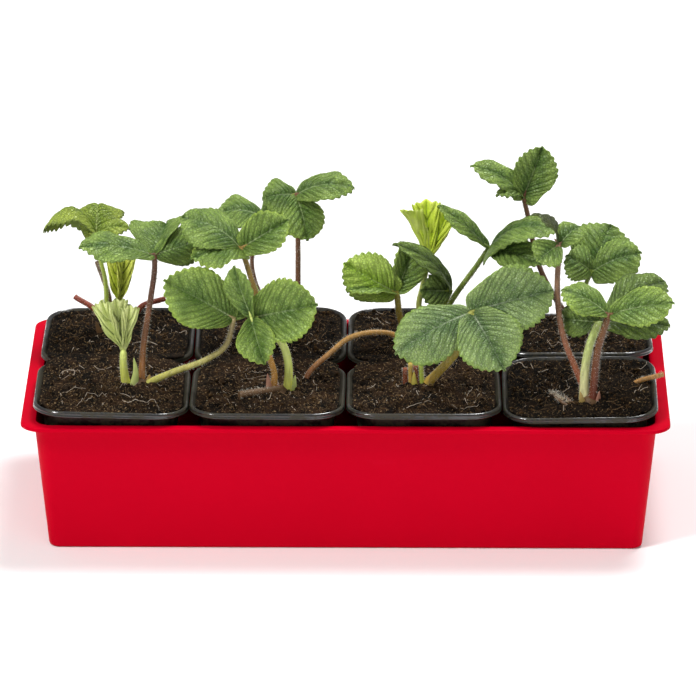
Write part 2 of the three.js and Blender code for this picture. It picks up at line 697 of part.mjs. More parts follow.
const potSolid = pot();
const foot = potRing(0, 0);
for (const [key, shape] of Object.entries(POTS)) {
  const plant = PLANTS[key];
  const place = potPlace(shape, foot);
  const standing = new THREE.Group();
  standing.rotation.copy(place.rotation);
  standing.position.copy(place.position);
  standing.updateMatrix();
  standing.add(meshOf(`pot_${key}`, potSolid, MATERIALS.blackPlastic));

  const toPot = standing.matrix.clone().invert();
  const crownAt = new THREE.Vector3(...shape.crown, shape.level);
  let fill = solidOf(peat(key, crownAt.clone().applyMatrix4(toPot)));
  if (shape.spilled) fill = fill.add(solidOf(spill(key, shape.row === 0 ? 1 : -1)));
  const hole = upright(holeRadius(plant), holeRadius(plant), -PEAT.holeDepth, 60, 0, 0);
  fill = fill.subtract(solidOf(hole.translate(...crownAt).applyMatrix4(toPot)));
  for (const stem of Object.values(LOOSE_STEMS)) {
    const around = tube(stem.path, stem.radius + GAP + 0.1);
    fill = fill.subtract(solidOf(around.applyMatrix4(toPot)));
  }
  standing.add(meshOf(`peat_${key}`, fill, MATERIALS.peat));
  planter.add(standing);

  const growing = new THREE.Group();
  growing.position.copy(crownAt);
  growing.add(meshOf(`stems_${key}`, stems(key, plant), MATERIALS.stem));
  for (const leaf of plant.leaves) {
    const name = `${key}_${leaf.name}`;
    const material = PALE_LEAVES.includes(name) ? MATERIALS.paleLeaf : MATERIALS.leaf;
    growing.add(meshOf(`leaf_${name}`, blades(leaf), material));
  }
  planter.add(growing);
}

for (const [name, stem] of Object.entries(LOOSE_STEMS)) {
  planter.add(meshOf(name, solidOf(tube(stem.path, stem.radius)), MATERIALS.cutStem));
}

export default planter;
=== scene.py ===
"""The looks of eight potted strawberry plants in a long red trough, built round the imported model.

Every size is in millimetres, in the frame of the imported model: +Z up, +X along the trough, +Y from
the front row to the back row, and the origin under the trough's middle. A mesh is built in
millimetres and scaled to metres when it becomes a piece.
"""
import logging
import math
import random
from collections.abc import Callable, Iterable, Sequence
from dataclasses import dataclass, field
from enum import Enum
from functools import partial

import bmesh
import bpy
from bmesh.types import BMEdge, BMesh, BMFace, BMVert
from bpy.types import Material, Node
from mathutils import Matrix, Vector, noise


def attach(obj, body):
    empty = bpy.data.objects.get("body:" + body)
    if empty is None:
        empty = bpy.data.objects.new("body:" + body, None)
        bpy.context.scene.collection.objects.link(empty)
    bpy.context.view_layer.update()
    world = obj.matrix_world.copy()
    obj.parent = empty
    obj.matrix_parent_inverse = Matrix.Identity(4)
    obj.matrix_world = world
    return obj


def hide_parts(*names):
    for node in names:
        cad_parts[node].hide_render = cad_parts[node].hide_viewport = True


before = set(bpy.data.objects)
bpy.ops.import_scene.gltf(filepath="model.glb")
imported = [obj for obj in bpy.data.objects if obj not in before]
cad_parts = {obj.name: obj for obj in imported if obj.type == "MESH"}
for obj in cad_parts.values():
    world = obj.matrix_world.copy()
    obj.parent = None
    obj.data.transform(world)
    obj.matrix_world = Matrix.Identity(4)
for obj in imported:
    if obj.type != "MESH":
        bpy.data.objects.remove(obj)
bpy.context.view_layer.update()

LOG = logging.getLogger("strawberry_trough")

MM = 0.001
Triple = tuple[float, float, float]

# Sockets of the Mix node that carry colours, and settings that many nodes share.
A, B, MIXED = 6, 7, 2
COLOURS = {"data_type": "RGBA"}
SMOOTH = {"interpolation_type": "SMOOTHSTEP"}


def linear(hex_colour: str) -> tuple[float, float, float, float]:
    """Turns an sRGB colour to linear light.

    Args:
        hex_colour: the colour as #RRGGBB.

    Returns:
        Red, green, blue and a full alpha, in linear light.
    """
    channels = [int(hex_colour[i : i + 2], 16) / 255 for i in (1, 3, 5)]
    straight = [c / 12.92 if c <= 0.04045 else ((c + 0.055) / 1.055) ** 2.4 for c in channels]
    return (straight[0], straight[1], straight[2], 1.0)


def main_output(node: Node) -> bpy.types.NodeSocket:
    """Gives the output that a node is used for: its first, or a Mix node's colour."""
    return node.outputs[MIXED if node.bl_idname == "ShaderNodeMix" else 0]


def add_node(tree: bpy.types.NodeTree, kind: str, sockets: dict | None = None, **settings) -> Node:
    """Adds a node with its settings, values and links.

    Args:
        tree: the material's node tree.
        kind: the node's type name after "ShaderNode".
        sockets: input name or number, to a value, or to the socket or the node that feeds it.
        **settings: the node's own properties.

    Returns:
        The new node.
    """
    node = tree.nodes.new(f"ShaderNode{kind}")
    for name, value in settings.items():
        setattr(node, name, value)
    for key, value in (sockets or {}).items():
        source = main_output(value) if isinstance(value, Node) else value
        if isinstance(source, bpy.types.NodeSocket):
            tree.links.new(source, node.inputs[key])
        else:
            node.inputs[key].default_value = source
    return node


class Surface:
    """A material with one Principled shader, its texture coordinates and a way to add nodes."""

    def __init__(self, name: str, roughness: float, ior: float, specular: float = 0.5) -> None:
        """Makes the material.

        Args:
            name: the material's name.
            roughness: the shader's roughness.
            ior: the shader's index of refraction.
            specular: how strong its reflection is, 0.5 being what the index of refraction gives.
        """
        self.material = bpy.data.materials.new(name)
        self.material.use_nodes = True
        tree = self.material.node_tree
        self._tree = tree
        self._shader = tree.nodes["Principled BSDF"].inputs
        self.feed({"Roughness": roughness, "IOR": ior, "Specular IOR Level": specular})
        self.add = partial(add_node, tree)
        self.coords = self.add("TexCoord").outputs
        self.place = self.coords["Object"]

    def feed(self, sockets: dict) -> Material:
        """Gives the shader's inputs their values or the nodes that feed them.

        Args:
            sockets: input name, to a value or to the node that feeds it.

        Returns:
            The material.
        """
        for key, value in sockets.items():
            if isinstance(value, Node):
                self._tree.links.new(main_output(value), self._shader[key])
            else:
                self._shader[key].default_value = value
        return self.material


def per_metre(size_mm: float) -> float:
    """Gives the texture scale of a pattern that repeats about once in size_mm."""
    return 1 / (size_mm * MM)


@dataclass(frozen=True)
class TroughPlastic:
    """Injection moulded polypropylene in crimson: an even colour with a soft, slightly waxy gloss."""

    colour: str = "#CC0022"
    deep: str = "#C4001F"
    scuff: str = "#D01030"
    roughness: float = 0.42
    ior: float = 1.49
    specular: float = 0.02
    grain_mm: float = 0.9
    sink_mm: float = 60.0
    scuff_mm: float = 5.0
    scuff_reach: float = 0.3

    def build(self) -> Material:
        """Makes the material.

        Returns:
            Crimson plastic with a fine grain, shallow sink marks and a few pale scuffs.
        """
        look = Surface("moulded_crimson_polypropylene", self.roughness, self.ior, self.specular)
        add, place = look.add, look.place
        sink = add("TexNoise", {"Vector": place, "Scale": per_metre(self.sink_mm)})
        tone = add("Mix", {0: sink, A: linear(self.deep), B: linear(self.colour)}, **COLOURS)
        # A scuff is a short line along the trough, so its pattern is stretched along X.
        drawn = add("Mapping", {"Vector": place, "Scale": (0.12, 1.0, 1.0)})
        lines = add("TexNoise", {"Vector": drawn, "Scale": per_metre(self.scuff_mm), "Detail": 6.0})
        limits = {"From Min": 0.66, "From Max": 0.78, "To Max": self.scuff_reach}
        worn = add("MapRange", {"Value": lines, **limits}, **SMOOTH)
        colour = add("Mix", {0: worn, A: tone, B: linear(self.scuff)}, **COLOURS)
        grain = add("TexNoise", {"Vector": place, "Scale": per_metre(self.grain_mm), "Detail": 3.0})
        bump = add("Bump", {"Height": grain, "Strength": 0.12, "Distance": 0.1 * MM})
        return look.feed({"Base Color": colour, "Normal": bump})


@dataclass(frozen=True)
class PotPlastic:
    """Thermoformed black polystyrene: a satin sheet, dulled by peat dust in patches."""

    colour: str = "#070708"
    dust: str = "#332E1E"
    roughness: float = 0.35
    dusty_roughness: float = 0.75
    ior: float = 1.59
    specular: float = 0.3
    patch_mm: float = 12.0
    speck_mm: float = 1.6
    lip_from: float = 81.4
    lip_to: float = 82.2
    lip_roughness: float = 0.12
    lip_ior: float = 1.7
    dust_more: float = 0.1
    dust_middle: float = -22.0
    dust_band: tuple[float, float] = (36.0, 50.0)
    dust_end: tuple[float, float] = (84.0, 94.0)

    def build(self) -> Material:
        """Makes the material.

        Returns:
            Black plastic, glossy on the lip where it is clean and brown-grey where dust lies.
        """
        look = Surface("thermoformed_black_polystyrene", self.roughness, self.ior, self.specular)
        add, place = look.add, look.place
        patch = add("TexNoise", {"Vector": place, "Scale": per_metre(self.patch_mm), "Detail": 4.0})
        speck = add("TexNoise", {"Vector": place, "Scale": per_metre(self.speck_mm), "Detail": 3.0})
        spot = add("SeparateXYZ", {"Vector": place}).outputs
        # Peat was spilled between the rows of the first six pots, so its dust lies thicker there.
        shifted = add("Math", {0: spot["Y"], 1: self.dust_middle * MM}, operation="SUBTRACT")
        away = add("Math", {0: shifted}, operation="ABSOLUTE")
        limits = {"From Min": self.dust_band[0] * MM, "From Max": self.dust_band[1] * MM}
        band = add("MapRange", {"Value": away, "To Min": self.dust_more, "To Max": 0.0, **limits})
        limits = {"From Min": self.dust_end[0] * MM, "From Max": self.dust_end[1] * MM}
        reach = add("MapRange", {"Value": spot["X"], "To Min": 1.0, "To Max": 0.0, **limits})
        spilled = add("Math", {0: band, 1: reach}, operation="MULTIPLY")
        lying = add("Math", {0: patch, 1: speck, 2: spilled}, operation="MULTIPLY_ADD")
        limits = {"From Min": 0.19, "From Max": 0.33, "To Max": 0.85}
        dusty = add("MapRange", {"Value": lying, **limits}, **SMOOTH)
        colour = add("Mix", {0: dusty, A: linear(self.colour), B: linear(self.dust)}, **COLOURS)
        limits = {"To Min": self.roughness, "To Max": self.dusty_roughness}
        rough = add("MapRange", {"Value": dusty, **limits})
        # The thick lip was drawn glossy; the thin wall under it is satin.
        limits = {"From Min": self.lip_from * MM, "From Max": self.lip_to * MM}
        lip = add("MapRange", {"Value": spot["Z"], **limits})
        clean = add("Math", {0: 1.0, 1: dusty}, operation="SUBTRACT")
        gloss = add("Math", {0: lip, 1: clean}, operation="MULTIPLY")
        look.feed({"Coat Roughness": self.lip_roughness, "Coat IOR": self.lip_ior})
        return look.feed({"Base Color": colour, "Roughness": rough, "Coat Weight": gloss})


@dataclass(frozen=True)
class MilledPeat:
    """Milled peat: moist dark crumbs with lighter fibres, no gloss."""

    name: str = "milled_peat"
    dark: str = "#0E0905"
    brown: str = "#302114"
    pale: str = "#9A805C"
    roughness: float = 0.95
    ior: float = 1.4
    specular: float = 0.2
    crumb_mm: float = 1.2
    clod_mm: float = 7.0

    def build(self) -> Material:
        """Makes the material.

        Returns:
            Dark brown peat with paler crumbs and a rough surface.
        """
        look = Surface(self.name, self.roughness, self.ior, self.specular)
        add, place = look.add, look.place
        clod = add("TexNoise", {"Vector": place, "Scale": per_metre(self.clod_mm), "Detail": 5.0})
        fine = {"Scale": per_metre(self.crumb_mm), "Detail": 5.0, "Roughness": 0.65}
        crumb = add("TexNoise", {"Vector": place, **fine})
        damp = add("MapRange", {"Value": clod, "From Min": 0.4, "From Max": 0.64})
        ground = add("Mix", {0: damp, A: linear(self.dark), B: linear(self.brown)}, **COLOURS)
        bright = add("MapRange", {"Value": crumb, "From Min": 0.57, "From Max": 0.68, "To Max": 1.0})
        colour = add("Mix", {0: bright, A: ground, B: linear(self.pale)}, **COLOURS)
        bump = add("Bump", {"Height": crumb, "Strength": 0.9, "Distance": 0.8 * MM})
        return look.feed({"Base Color": colour, "Normal": bump})


@dataclass(frozen=True)
class DryFibre:
    """Dry plant fibre or skin: a matte, slightly uneven tone, as on roots, sheaths and hairs."""

    name: str
    light: str
    dark: str
    patch_mm: float = 3.0
    roughness: float = 0.8
    ior: float = 1.45

    def build(self) -> Material:
        """Makes the material.

        Returns:
            A matte material that drifts between the two tones.
        """
        look = Surface(self.name, self.roughness, self.ior)
        scale = per_metre(self.patch_mm)
        patch = look.add("TexNoise", {"Vector": look.place, "Scale": scale, "Detail": 3.0})
        tones = {A: linear(self.dark), B: linear(self.light)}
        return look.feed({"Base Color": look.add("Mix", {0: patch, **tones}, **COLOURS)})


@dataclass(frozen=True)
class Rind:
    """Living stalk rind: a smooth green or red skin, low tone at the crown and another at the leaf."""

    low: str
    high: str
    to_height: float
    from_height: float = 84.0
    roughness: float = 0.45
    ior: float = 1.45
    streak_mm: float = 1.4

    def build(self, name: str) -> Material:
        """Makes the material.

        Args:
            name: the material's name.

        Returns:
            A satin skin whose colour changes with height, with fine streaks along it.
        """
        look = Surface(name, self.roughness, self.ior)
        add, place = look.add, look.place
        height = add("SeparateXYZ", {"Vector": place}).outputs["Z"]
        limits = {"From Min": self.from_height * MM, "From Max": self.to_height * MM}
        share = add("MapRange", {"Value": height, **limits}, **SMOOTH)
        tone = add("Mix", {0: share, A: linear(self.low), B: linear(self.high)}, **COLOURS)
        # Streaks run along the stalk, which is mostly upright, so the pattern is drawn out along Z.
        drawn = add("Mapping", {"Vector": place, "Scale": (1.0, 1.0, 0.05)})
        streak = add("TexNoise", {"Vector": drawn, "Scale": per_metre(self.streak_mm), "Detail": 3.0})
        limits = {"From Min": 0.3, "From Max": 0.7, "To Min": 0.7, "To Max": 1.15}
        shaded = add("MapRange", {"Value": streak, **limits})
        colour = add("VectorMath", {0: tone, "Scale": shaded}, operation="SCALE")
        bump = add("Bump", {"Height": streak, "Strength": 0.3, "Distance": 0.2 * MM})
        return look.feed({"Base Color": colour, "Normal": bump})


class StalkTone(Enum):
    """The tones of stalk that the plants show, with the height where the upper tone is reached."""

    LIME = Rind("#F2F670", "#DCE884", 112)
    FRESH = Rind("#C4D858", "#AEC254", 140)
    RUSSET = Rind("#A87244", "#744E3C", 150)
    RED = Rind("#6A2C12", "#74502E", 140)
    BUFF = Rind("#CBC765", "#A59466", 124)
    AMBER = Rind("#B3823C", "#A68A48", 170)
    OLIVE = Rind("#D0AC4E", "#A6A850", 130)
    GREEN = Rind("#93A545", "#7E9440", 140)
    PALE = Rind("#DAD49C", "#B4C470", 124)
    ROSE = Rind("#8A4628", "#8E6C52", 150)
    BROWN = Rind("#6A4432", "#80583E", 140)
    DEAD = Rind("#6E5238", "#7C6244", 100)
    TAN = Rind("#A86C45", "#B08646", 108)
    CUT_RED = Rind("#A14A33", "#8F4634", 100)
    CUT_TAN = Rind("#C08A4A", "#CFA063", 100)
    HUSK = Rind("#6E5C42", "#8E7C60", 87)


@dataclass(frozen=True)
class Lamina:
    """Living leaf blade: a thin green skin, quilted between sunken veins with painted shade in them and
    painted highlights on its down, and a paler downy back.
    """

    blade: str
    light: str
    # The next colour is painted shade, the dark green laid into the sunken veins and the net between
    # them.
    crease_shade: str
    rib: str
    margin: str
    under: str
    # The next share is how strong the pale flecks are: painted highlights on the down.
    down: float = 0.34
    # How deep the veins sink, which also sets how dark their painted shade is.
    furrows: float = 0.62
    quilt: float = 0.6
    roughness: float = 0.4
    ior: float = 1.42
    vein_width: float = 0.12
    rib_width: float = 0.022
    rib_paleness: float = 0.9
    quilt_mm: float = 1.7
    patch_mm: float = 8.0
    down_glint_mm: float = 0.55
    wander_mm: float = 6.0
    wander: float = 0.2
    relief_mm: float = 1.1

    VEINS_PER_UV = 12.0

    def upper(self, name: str) -> Material:
        """Makes the upper face's material.

        Args:
            name: the tone's name.

        Returns:
            Green lamina whose sunken veins follow the blade's own UV map.
        """
        look = Surface(f"leaf_upper_{name}", self.roughness, self.ior)
        add, place = look.add, look.place
        unit = add("SeparateXYZ", {"Vector": look.coords["UV"]}).outputs
        off_rib = add("Math", {0: unit["X"], 1: 0.5}, operation="SUBTRACT")
        across = add("Math", {0: off_rib}, operation="ABSOLUTE")
        patch = add("TexNoise", {"Vector": place, "Scale": per_metre(self.patch_mm), "Detail": 5.0})
        # The blade is darkest along its heart and lightest near the margin.
        spread = add("Math", {0: across, 1: patch}, operation="ADD")
        drift = add("MapRange", {"Value": spread, "From Min": 0.5, "From Max": 1.02})
        ground = add("Mix", {0: drift, A: linear(self.blade), B: linear(self.light)}, **COLOURS)
        # Painted shade: the sunken veins and the net are darkened with the crease colour, besides the
        # bump.
        sunken = self._furrows(look, across, unit["Y"])
        crease_shaded = add("Mix", {0: sunken, A: ground, B: linear(self.crease_shade)}, **COLOURS)
        # Tiny pale flecks: painted highlights, where the down on the quilted skin catches the light.
        fleck = add("TexNoise", {"Vector": place, "Scale": per_metre(self.down_glint_mm), "Detail": 3.0})
        limits = {"From Min": 0.58, "From Max": 0.68, "To Max": self.down}
        down_glint = add("MapRange", {"Value": fleck, **limits})
        downy = add("Mix", {0: down_glint, A: crease_shaded, B: linear(self.rib)}, **COLOURS)
        # The pale midrib fades towards the tip.
        limits = {"From Max": self.rib_width, "To Min": self.rib_paleness, "To Max": 0.0}
        rib = add("MapRange", {"Value": across, **limits}, **SMOOTH)
        fading = add("MapRange", {"Value": unit["Y"], "From Max": 0.75, "To Min": 1.0, "To Max": 0.15})
        pale = add("Math", {0: rib, 1: fading}, operation="MULTIPLY")
        ribbed = add("Mix", {0: pale, A: downy, B: linear(self.rib)}, **COLOURS)
        limits = {"From Min": 0.43, "From Max": 0.5, "To Max": 0.7}
        rim = add("MapRange", {"Value": across, **limits}, **SMOOTH)
        colour = add("Mix", {0: rim, A: ribbed, B: linear(self.margin)}, **COLOURS)
        relief = {"Height": sunken, "Strength": 1.0, "Distance": self.relief_mm * MM}
        return look.feed({"Base Color": colour, "Normal": add("Bump", relief, invert=True)})

    def lower(self, name: str) -> Material:
        """Makes the lower face's material, the paler, downy underside."""
        return DryFibre(f"leaf_under_{name}", self.under, self.blade, 6.0, 0.7).build()

    def _furrows(self, look: Surface, across: Node, along: bpy.types.NodeSocket) -> Node:
        """Draws the sunken side veins and the fine net between them.

        Args:
            look: the material.
            across: the distance from the midrib, from 0 to 0.5 at the margin.
            along: the distance along the midrib, as the UV map counts it.

        Returns:
            The node that says how deep the skin is sunken, and how much painted crease shade darkens
            the colour there.
        """
        add, place = look.add, look.place
        wander = add("TexNoise", {"Vector": place, "Scale": per_metre(self.wander_mm), "Detail": 1.0})
        limits = {"From Min": 0.3, "From Max": 0.7, "To Min": -self.wander, "To Max": self.wander}
        astray = add("MapRange", {"Value": wander, **limits})
        veins = add("Math", {0: along, 1: self.VEINS_PER_UV, 2: astray}, operation="MULTIPLY_ADD")
        phase = add("Math", {0: veins}, operation="FRACT")
        off_vein = add("Math", {0: phase, 1: 0.5}, operation="SUBTRACT")
        away = add("Math", {0: off_vein}, operation="ABSOLUTE")
        limits = {"From Max": self.vein_width, "To Min": 1.0, "To Max": 0.0}
        side = add("MapRange", {"Value": away, **limits}, **SMOOTH)
        # The veins are deepest at the midrib and run out towards the margin.
        limits = {"From Max": 0.5, "To Min": self.furrows, "To Max": 0.3 * self.furrows}
        deep = add("MapRange", {"Value": across, **limits})
        creases = add("Math", {0: side, 1: deep}, operation="MULTIPLY")
        fine = {"Vector": place, "Scale": per_metre(self.quilt_mm)}
        net = add("TexVoronoi", fine, feature="DISTANCE_TO_EDGE")
        limits = {"From Max": 0.16, "To Min": self.quilt * self.furrows, "To Max": 0.0}
        seams = add("MapRange", {"Value": net, **limits}, **SMOOTH)
        return add("Math", {0: creases, 1: seams}, operation="MAXIMUM")


class LeafTone(Enum):
    """The greens that the leaflets show."""

    DEEP = Lamina("#4A6228", "#86A04A", "#1C2E0C", "#B6CA8C", "#4A6228", "#6A8040")
    MID = Lamina("#50702C", "#96B254", "#1E360E", "#C8DA9E", "#7E9A42", "#7A924C")
    FRESH = Lamina("#5A7A2E", "#9AB654", "#264210", "#D4E4A6", "#A2BE48", "#8AA252")
    BRIGHT = Lamina("#A0C640", "#CCE870", "#466C18", "#D6E2A6", "#84A238", "#A4B464", 0.2)
    # Its underside is darker than its blade: painted shade, for the underside seen under the drooping
    # dome.
    UMBRELLA = Lamina("#7C9430", "#AABC4C", "#34480F", "#CBD88A", "#5A6E28", "#5F6D33", 0.3)
    # Its many pale flecks are painted sheen, light on the down, which gives it its grey look.
    GREY = Lamina("#58763E", "#9CB66A", "#22391A", "#DCE6C8", "#92B24A", "#88A066", 0.5)
    LIME = Lamina("#D0E83C", "#ECFA6A", "#6C8A10", "#EDF5A8", "#BCD04A", "#C8D282", 0.15, 0.9, 0.15)
    DOWNY = Lamina("#C6D47A", "#E2EA9C", "#87974A", "#F2F6D0", "#A4B662", "#B6C27A", 0.4, 0.9, 0.15)
    BUD = Lamina("#C6D44A", "#ECF470", "#3E4A0C", "#EAF094", "#A4B248", "#B0BC5C", 0.15, 0.9, 0.2)
    # A leaflet seen in shadow: its blade is painted dark green as shade, while its pale rib is its own
    # colour.
    HOLLOW = Lamina("#3C4420", "#4C562A", "#272D12", "#B9C48C", "#5A6A34", "#6C7A42")


class SheathTone(Enum):
    """The tones of the papery sheaths round a crown, light and dark."""

    CROWN = ("#7A5A36", "#3E2A18")
    GREEN = ("#E2EA96", "#B4C868")
    PINK = ("#C79A80", "#8A5040")
    STRAW = ("#CDB06A", "#8F7338")
    YELLOW = ("#DCCB5E", "#A9A044")


class Finish(Enum):
    """The finishes that have one tone each."""

    TROUGH = TroughPlastic()
    POT = PotPlastic()
    PEAT = MilledPeat()
    MOIST_PEAT = MilledPeat("moist_milled_peat", "#060402", "#1F150C", "#7C6646")
    # Loose crumbs have dried a little paler than the bed.
    CRUMB = MilledPeat("dry_peat_crumbs", "#1A1109", "#48341E", "#9A7E56")
    FIBRE = DryFibre("dry_moss_fibre", "#A3835C", "#4F3826")
    ROOT = DryFibre("pale_feeder_root", "#D8CDBE", "#A8937A")
    HAIR = DryFibre("silky_hair", "#F1EDE2", "#D9D3C2", 3.0, 0.5)


class Finishes:
    """Makes each material once and hands it out."""

    def __init__(self) -> None:
        """Starts with no materials."""
        self._made: dict[str, Material] = {}

    def _keep(self, key: str, make: Callable[[], Material]) -> Material:
        """Gives the material of that name, and makes it the first time."""
        if key not in self._made:
            self._made[key] = make()
        return self._made[key]

    def plain(self, finish: Finish) -> Material:
        """Gives a finish that has one tone."""
        return self._keep(finish.name.lower(), finish.value.build)

    def sheath(self, tone: SheathTone) -> Material:
        """Gives the papery sheath of that tone."""
        name = f"papery_sheath_{tone.name.lower()}"
        return self._keep(name, DryFibre(name, *tone.value, 4.0, 0.6).build)

    def stalk(self, tone: StalkTone) -> Material:
        """Gives the rind of that tone."""
        name = f"stalk_rind_{tone.name.lower()}"
        return self._keep(name, partial(tone.value.build, name))

    def leaf(self, tone: LeafTone) -> tuple[Material, Material]:
        """Gives the upper and the lower face of that tone."""
        name = tone.name.lower()
        upper = self._keep(f"upper_{name}", partial(tone.value.upper, name))
        return upper, self._keep(f"lower_{name}", partial(tone.value.lower, name))


class Slot(Enum):
    """The record's material slots."""

    RED = "red_plastic"
    BLACK = "black_plastic"
    PEAT = "peat"
    STEM = "stem"
    LEAF = "leaf"
    PALE_LEAF = "pale_leaf"
    CUT_STEM = "cut_stem"


def make_piece(
    bm: BMesh,
    name: str,
    materials: Sequence[Material],
    nodes: Iterable[str] = (),
    place: Matrix | None = None,
) -> bpy.types.Object:
    """Turns a mesh in millimetres into a piece of the object, in metres.

    Args:
        bm: the mesh, which is freed.
        name: the piece's name.
        materials: the piece's materials, in the order of its faces' numbers.
        nodes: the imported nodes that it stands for.
        place: the place of the mesh's own frame, where it has one.

    Returns:
        The finished piece.
    """
    if place:
        bmesh.ops.transform(bm, matrix=place, verts=list(bm.verts))
    bmesh.ops.scale(bm, vec=(MM, MM, MM), verts=list(bm.verts))
    mesh = bpy.data.meshes.new(name)
    bm.to_mesh(mesh)
    bm.free()
    for face in mesh.polygons:
        face.use_smooth = face.loop_total <= 4  # the flat ends of stalks have more corners
    for material in materials:
        mesh.materials.append(material)
    piece = bpy.data.objects.new(name, mesh)
    bpy.context.scene.collection.objects.link(piece)
    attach(piece, "root")
    if nodes:
        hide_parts(*nodes)
    LOG.info("%s: %d faces", name, len(mesh.polygons))
    return piece


def smooth_path(points: Sequence[Triple], step: float) -> list[Vector]:
    """Draws a centripetal Catmull-Rom curve through points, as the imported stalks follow.

    Args:
        points: the points to pass through.
        step: the distance between the points that come back.

    Returns:
        Points along the curve.
    """
    given = [Vector(p) for p in points]
    ends = [given[0] * 2 - given[1], *given, given[-1] * 2 - given[-2]]
    path = [given[0]]
    for p0, p1, p2, p3 in zip(ends, ends[1:], ends[2:], ends[3:]):
        gap0, gap1, gap2 = ((b - a).length ** 0.5 for a, b in ((p0, p1), (p1, p2), (p2, p3)))
        leaving = ((p1 - p0) / gap0 - (p2 - p0) / (gap0 + gap1) + (p2 - p1) / gap1) * gap1
        arriving = ((p2 - p1) / gap1 - (p3 - p1) / (gap1 + gap2) + (p3 - p2) / gap2) * gap1
        count = max(2, round((p2 - p1).length / step))
        for i in range(1, count + 1):
            t = i / count
            square = (p2 - p1) * 3 - leaving * 2 - arriving
            cube = (p1 - p2) * 2 + leaving + arriving
            path.append(p1 + leaving * t + square * t**2 + cube * t**3)
    return path


def from_crown(path: Sequence[Triple], step: float) -> list[Vector]:
    """Gives the middle line of a stalk from inside its plant's crown.

    Args:
        path: its points, of which the first is where it leaves the peat.
        step: the distance between the points that come back.

    Returns:
        Points along the curve.
    """
    root = (path[0][0] * 0.4, path[0][1] * 0.4, -5.0)
    return smooth_path([root, *path], step)


def stations(
    path: Sequence[Vector], widths: Sequence[float], flat: float, start: Vector
) -> list[Matrix]:
    """Gives the frame of each ring of a swept piece.

    Args:
        path: the middle line.
        widths: the half width at each point.
        flat: the ring's thickness as a share of its width.
        start: the direction in which the first ring is wide.

    Returns:
        One matrix for each point, which places a unit circle.
    """
    frames = []
    wide = start
    for i, point in enumerate(path):
        along = (path[min(i + 1, len(path) - 1)] - path[max(i - 1, 0)]).normalized()
        wide = (wide - along * wide.dot(along)).normalized()
        thin = along.cross(wide)
        turn = Matrix((wide, thin, along)).transposed().to_4x4()
        size = Matrix.Diagonal((widths[i], widths[i] * flat, widths[i], 1))
        frames.append(Matrix.Translation(point) @ turn @ size)
    return frames


def grow(bm: BMesh, edges: Sequence[BMEdge]) -> tuple[list[BMEdge], list[BMVert]]:
    """Extrudes a loop of edges on the spot.

    Args:
        bm: the mesh.
        edges: the loop.

    Returns:
        The new loop's edges and vertices.
    """
    grown = bmesh.ops.extrude_edge_only(bm, edges=edges)["geom"]
    return [g for g in grown if isinstance(g, BMEdge)], [g for g in grown if isinstance(g, BMVert)]


def sweep(
    bm: BMesh,
    path: Sequence[Vector],
    widths: Sequence[float],
    sides: int,
    flat: float = 1.0,
    start: Vector = Vector((1.0, 0.13, 0.07)),
) -> set[BMFace]:
    """Sweeps a round or flattened section along a path, closed at both ends.

    Args:
        bm: the mesh to add to.
        path: the middle line.
        widths: the half width at each point.
        sides: the number of sides of the section.
        flat: the section's thickness as a share of its width.
        start: the direction in which the first section is wide.

    Returns:
        The new faces.
    """
    frames = stations(path, widths, flat, start)
    ring = bmesh.ops.create_circle(bm, cap_ends=True, segments=sides, radius=1.0, matrix=frames[0])
    cap = ring["verts"][0].link_faces[0]
    faces = {cap}
    edges = list(cap.edges)
    for before, after in zip(frames, frames[1:]):
        edges, verts = grow(bm, edges)
        bmesh.ops.transform(bm, matrix=after @ before.inverted(), verts=verts)
        faces.update(f for v in verts for f in v.link_faces)
    faces.update(bmesh.ops.contextual_create(bm, geom=edges)["faces"])
    return faces


def taper(count: int, low: float, high: float) -> list[float]:
    """Gives count widths that go evenly from low to high."""
    return [low + (high - low) * (i / (count - 1)) for i in range(count)]


def close_up(bm: BMesh) -> None:
    """Turns the faces of closed shells outwards."""
    bmesh.ops.recalc_face_normals(bm, faces=list(bm.faces))


@dataclass(frozen=True)
class Ring:
    """A level rounded rectangle."""

    half_x: float
    half_y: float
    corner: float
    z: float

    def point(self, quarter: int, share: float) -> Vector:
        """Gives a point of the ring.

        Args:
            quarter: which corner, counted from +X +Y.
            share: how far round that corner, from 0 to 1.

        Returns:
            The point.
        """
        sign_x = 1 if quarter in (0, 3) else -1
        sign_y = 1 if quarter < 2 else -1
        angle = (quarter + share) * math.pi / 2
        x = sign_x * (self.half_x - self.corner) + self.corner * math.cos(angle)
        y = sign_y * (self.half_y - self.corner) + self.corner * math.sin(angle)
        return Vector((x, y, self.z))

    def rounded(self, unit_x: float, unit_y: float) -> tuple[float, float]:
        """Maps a point of the square from -1 to 1 to the rounded rectangle.

        Args:
            unit_x: the point's x, from -1 to 1.
            unit_y: the point's y, from -1 to 1.

        Returns:
            The x and y where it comes to lie.
        """
        x, y = unit_x * self.half_x, unit_y * self.half_y
        over_x = abs(x) - (self.half_x - self.corner)
        over_y = abs(y) - (self.half_y - self.corner)
        if over_x > 0 and over_y > 0:
            pull = max(over_x, over_y) / math.hypot(over_x, over_y)
            x = math.copysign(self.half_x - self.corner + over_x * pull, x)
            y = math.copysign(self.half_y - self.corner + over_y * pull, y)
        return x, y


